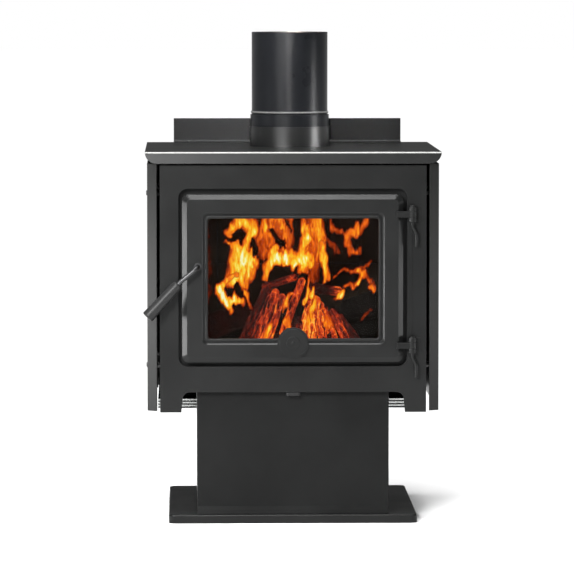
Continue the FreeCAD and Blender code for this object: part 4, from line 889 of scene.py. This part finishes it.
def make_ember_bed(material):
    """A bed of ash with lumps of charcoal heaped on it."""
    low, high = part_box("floor_bricks")
    depth, scale = EMBER_ROUGHNESS
    points, faces = [], []
    for row in range(EMBER_BED_ROWS + 1):
        for column in range(EMBER_BED_COLUMNS + 1):
            x = low.x + (high.x - low.x) * column / EMBER_BED_COLUMNS
            y = low.y + (high.y - low.y) * row / EMBER_BED_ROWS
            height = ember_height(x / MM, y / MM) * MM
            height += depth * MM * noise.noise(Vector((x, y, 0.0)) * scale)
            points.append((x, y, max(height, high.z + EMBER_CLEARANCE * MM)))
            if row and column:
                corner = row * (EMBER_BED_COLUMNS + 1) + column
                below = corner - EMBER_BED_COLUMNS - 1
                faces.append((below - 1, below, corner, corner - 1))
    draw = random.Random(LUMP_SEED)
    for index in range(LUMP_COUNT):
        x = clamped(draw.gauss(*LUMP_SPREAD_X), *LUMP_REACH_X)
        y = clamped(draw.gauss(*LUMP_SPREAD_Y), *LUMP_REACH_Y)
        size = draw.uniform(*LUMP_SIZE) * MM
        stretches = [draw.uniform(*LUMP_STRETCH) for _ in range(3)]
        lump, sides = ember_lump(index, Vector((x, y, ember_height(x, y))) * MM, size, stretches)
        faces += [tuple(len(points) + corner for corner in side) for side in sides]
        points += lump
    heat = [EMBER_HEAT * glow_at(point) for point in points]
    uvs = [(point[0] + point[1], point[2]) for point in points]
    add_piece("ember_bed", points, faces, material, "stove", uvs, heat)


def make_fire():
    fire = flame_material()
    for seed, (name, (depth, flames)) in enumerate(FLAME_SHEETS.items()):
        make_flame_sheet(name, depth, flames, SHEET_SEED_STEP * seed, fire)
    wood = charred_wood()
    for name, (start, end, radius, warmth) in LOGS.items():
        make_log(name, start, end, radius, warmth, wood)
    make_ember_bed(wood)


# ---------------------------------------------------------------- firebricks and rope


def loose_boxes(body):
    """The low and high corner of each separate solid of a CAD node."""
    shape = bmesh.new()
    shape.from_mesh(body.data)
    shape.transform(body.matrix_world)
    bmesh.ops.remove_doubles(shape, verts=shape.verts, dist=WELD_REACH)
    seen, boxes = set(), []
    for first in shape.verts:
        if first in seen:
            continue
        seen.add(first)
        group = [first]
        for vertex in group:
            for edge in vertex.link_edges:
                other = edge.other_vert(vertex)
                if other not in seen:
                    seen.add(other)
                    group.append(other)
        low = Vector([min(vertex.co[axis] for vertex in group) for axis in range(3)])
        high = Vector([max(vertex.co[axis] for vertex in group) for axis in range(3)])
        boxes.append((low, high))
    shape.free()
    return boxes


def worn_brick(low, high):
    """One firebrick with rounded, chipped edges and a pitted face: its points and faces."""
    shape = bmesh.new()
    bmesh.ops.create_cube(shape, size=1.0)
    middle, size = (low + high) / 2, high - low
    chip_depth, chip_scale = BRICK_CHIPS
    pit_depth, pit_scale = BRICK_PITS
    for vertex in shape.verts:
        vertex.co = middle + Vector([part * side for part, side in zip(vertex.co, size)])
    bmesh.ops.subdivide_edges(shape, edges=shape.edges[:], cuts=BRICK_CUTS, use_grid_fill=True)
    for vertex in shape.verts:
        inside = vertex.co - middle
        core = Vector([
            clamped(part, -side / 2 + BRICK_EDGE, side / 2 - BRICK_EDGE)
            for part, side in zip(inside, size)
        ])
        out = inside - core
        if out.length > BRICK_EDGE:
            out = out.normalized() * BRICK_EDGE
        chip = BRICK_WORN_SHARE + chip_depth * noise.noise(vertex.co * chip_scale)
        chip += pit_depth * noise.noise(vertex.co * pit_scale)
        vertex.co = middle + core + out * (1.0 - max(0.0, chip) * BRICK_WEAR / BRICK_EDGE)
    points = [tuple(vertex.co) for vertex in shape.verts]
    faces = [tuple(vertex.index for vertex in face.verts) for face in shape.faces]
    shape.free()
    return points, faces


def make_bricks():
    for node in BRICK_NODES:
        points, faces = [], []
        for low, high in loose_boxes(frame["nodes"][node]):
            brick, sides = worn_brick(low, high)
            faces += [tuple(len(points) + corner for corner in side) for side in sides]
            points += brick
        piece = add_piece("worn_" + node, points, faces, FINISHES["firebrick"], "stove")
        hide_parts(node)


def rounded_loop(low, high, corner, step):
    """Points of a closed upright rectangle with round corners, each with its outward direction."""
    centres = ((high.x, high.z, 0), (low.x, high.z, 90), (low.x, low.z, 180), (high.x, low.z, 270))
    middle = (low + high) / 2
    loop = []
    for x, z, start in centres:
        centre_x = x - math.copysign(corner, x - middle.x)
        centre_z = z - math.copysign(corner, z - middle.z)
        centre = Vector((centre_x, middle.y, centre_z))
        for turn in range(0, 91, ROPE_CORNER_TURN):
            angle = math.radians(start + turn)
            loop.append((centre, Vector((math.cos(angle), 0.0, math.sin(angle)))))
    path = []
    for (centre, out), (next_centre, next_out) in zip(loop, loop[1:] + loop[:1]):
        here, there = centre + out * corner, next_centre + next_out * corner
        count = max(1, round((there - here).length / step))
        for index in range(count):
            share = index / count
            path.append((here.lerp(there, share), out.lerp(next_out, share).normalized()))
    return path


def make_door_rope():
    """The knitted rope in the groove of the door, with crossing yarns along its skin."""
    low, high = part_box("door_gasket")
    half_deep = (high.y - low.y) / 2
    inset = Vector((ROPE_HALF_WIDTH, 0.0, ROPE_HALF_WIDTH))
    path = rounded_loop(low + inset, high - inset, ROPE_CORNER, ROPE_STEP)
    stitches = round(len(path) * ROPE_STEP / ROPE_STITCH)
    points, faces, uvs = [], [], []
    for ring, (centre, out) in enumerate(path):
        phase = 2.0 * math.pi * stitches * ring / len(path)
        for step in range(ROPE_AROUND):
            angle = 2.0 * math.pi * step / ROPE_AROUND
            yarn = abs(math.sin(phase + 2.0 * angle) * math.sin(phase - 2.0 * angle))
            fat = 1.0 - ROPE_STITCH_DEPTH * (1.0 - yarn)
            across = out * (ROPE_HALF_WIDTH * math.cos(angle) * fat)
            deep = Vector((0.0, half_deep * math.sin(angle) * fat, 0.0))
            points.append(tuple(centre + across + deep))
            uvs.append((step / ROPE_AROUND, ring * ROPE_STEP))
            beside = (step + 1) % ROPE_AROUND
            here, ahead = ring * ROPE_AROUND, (ring + 1) % len(path) * ROPE_AROUND
            faces.append((here + step, ahead + step, ahead + beside, here + beside))
    piece = add_piece("knitted_door_rope", points, faces, FINISHES["rope_seal"], "door", uvs)
    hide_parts("door_gasket")


# ---------------------------------------------------------------- scene

bpy.context.scene.view_settings.view_transform = "Standard"
dress_cad_nodes()
make_camera()
make_floor()
make_lights()
make_world()
make_bricks()
make_door_rope()
make_fire()
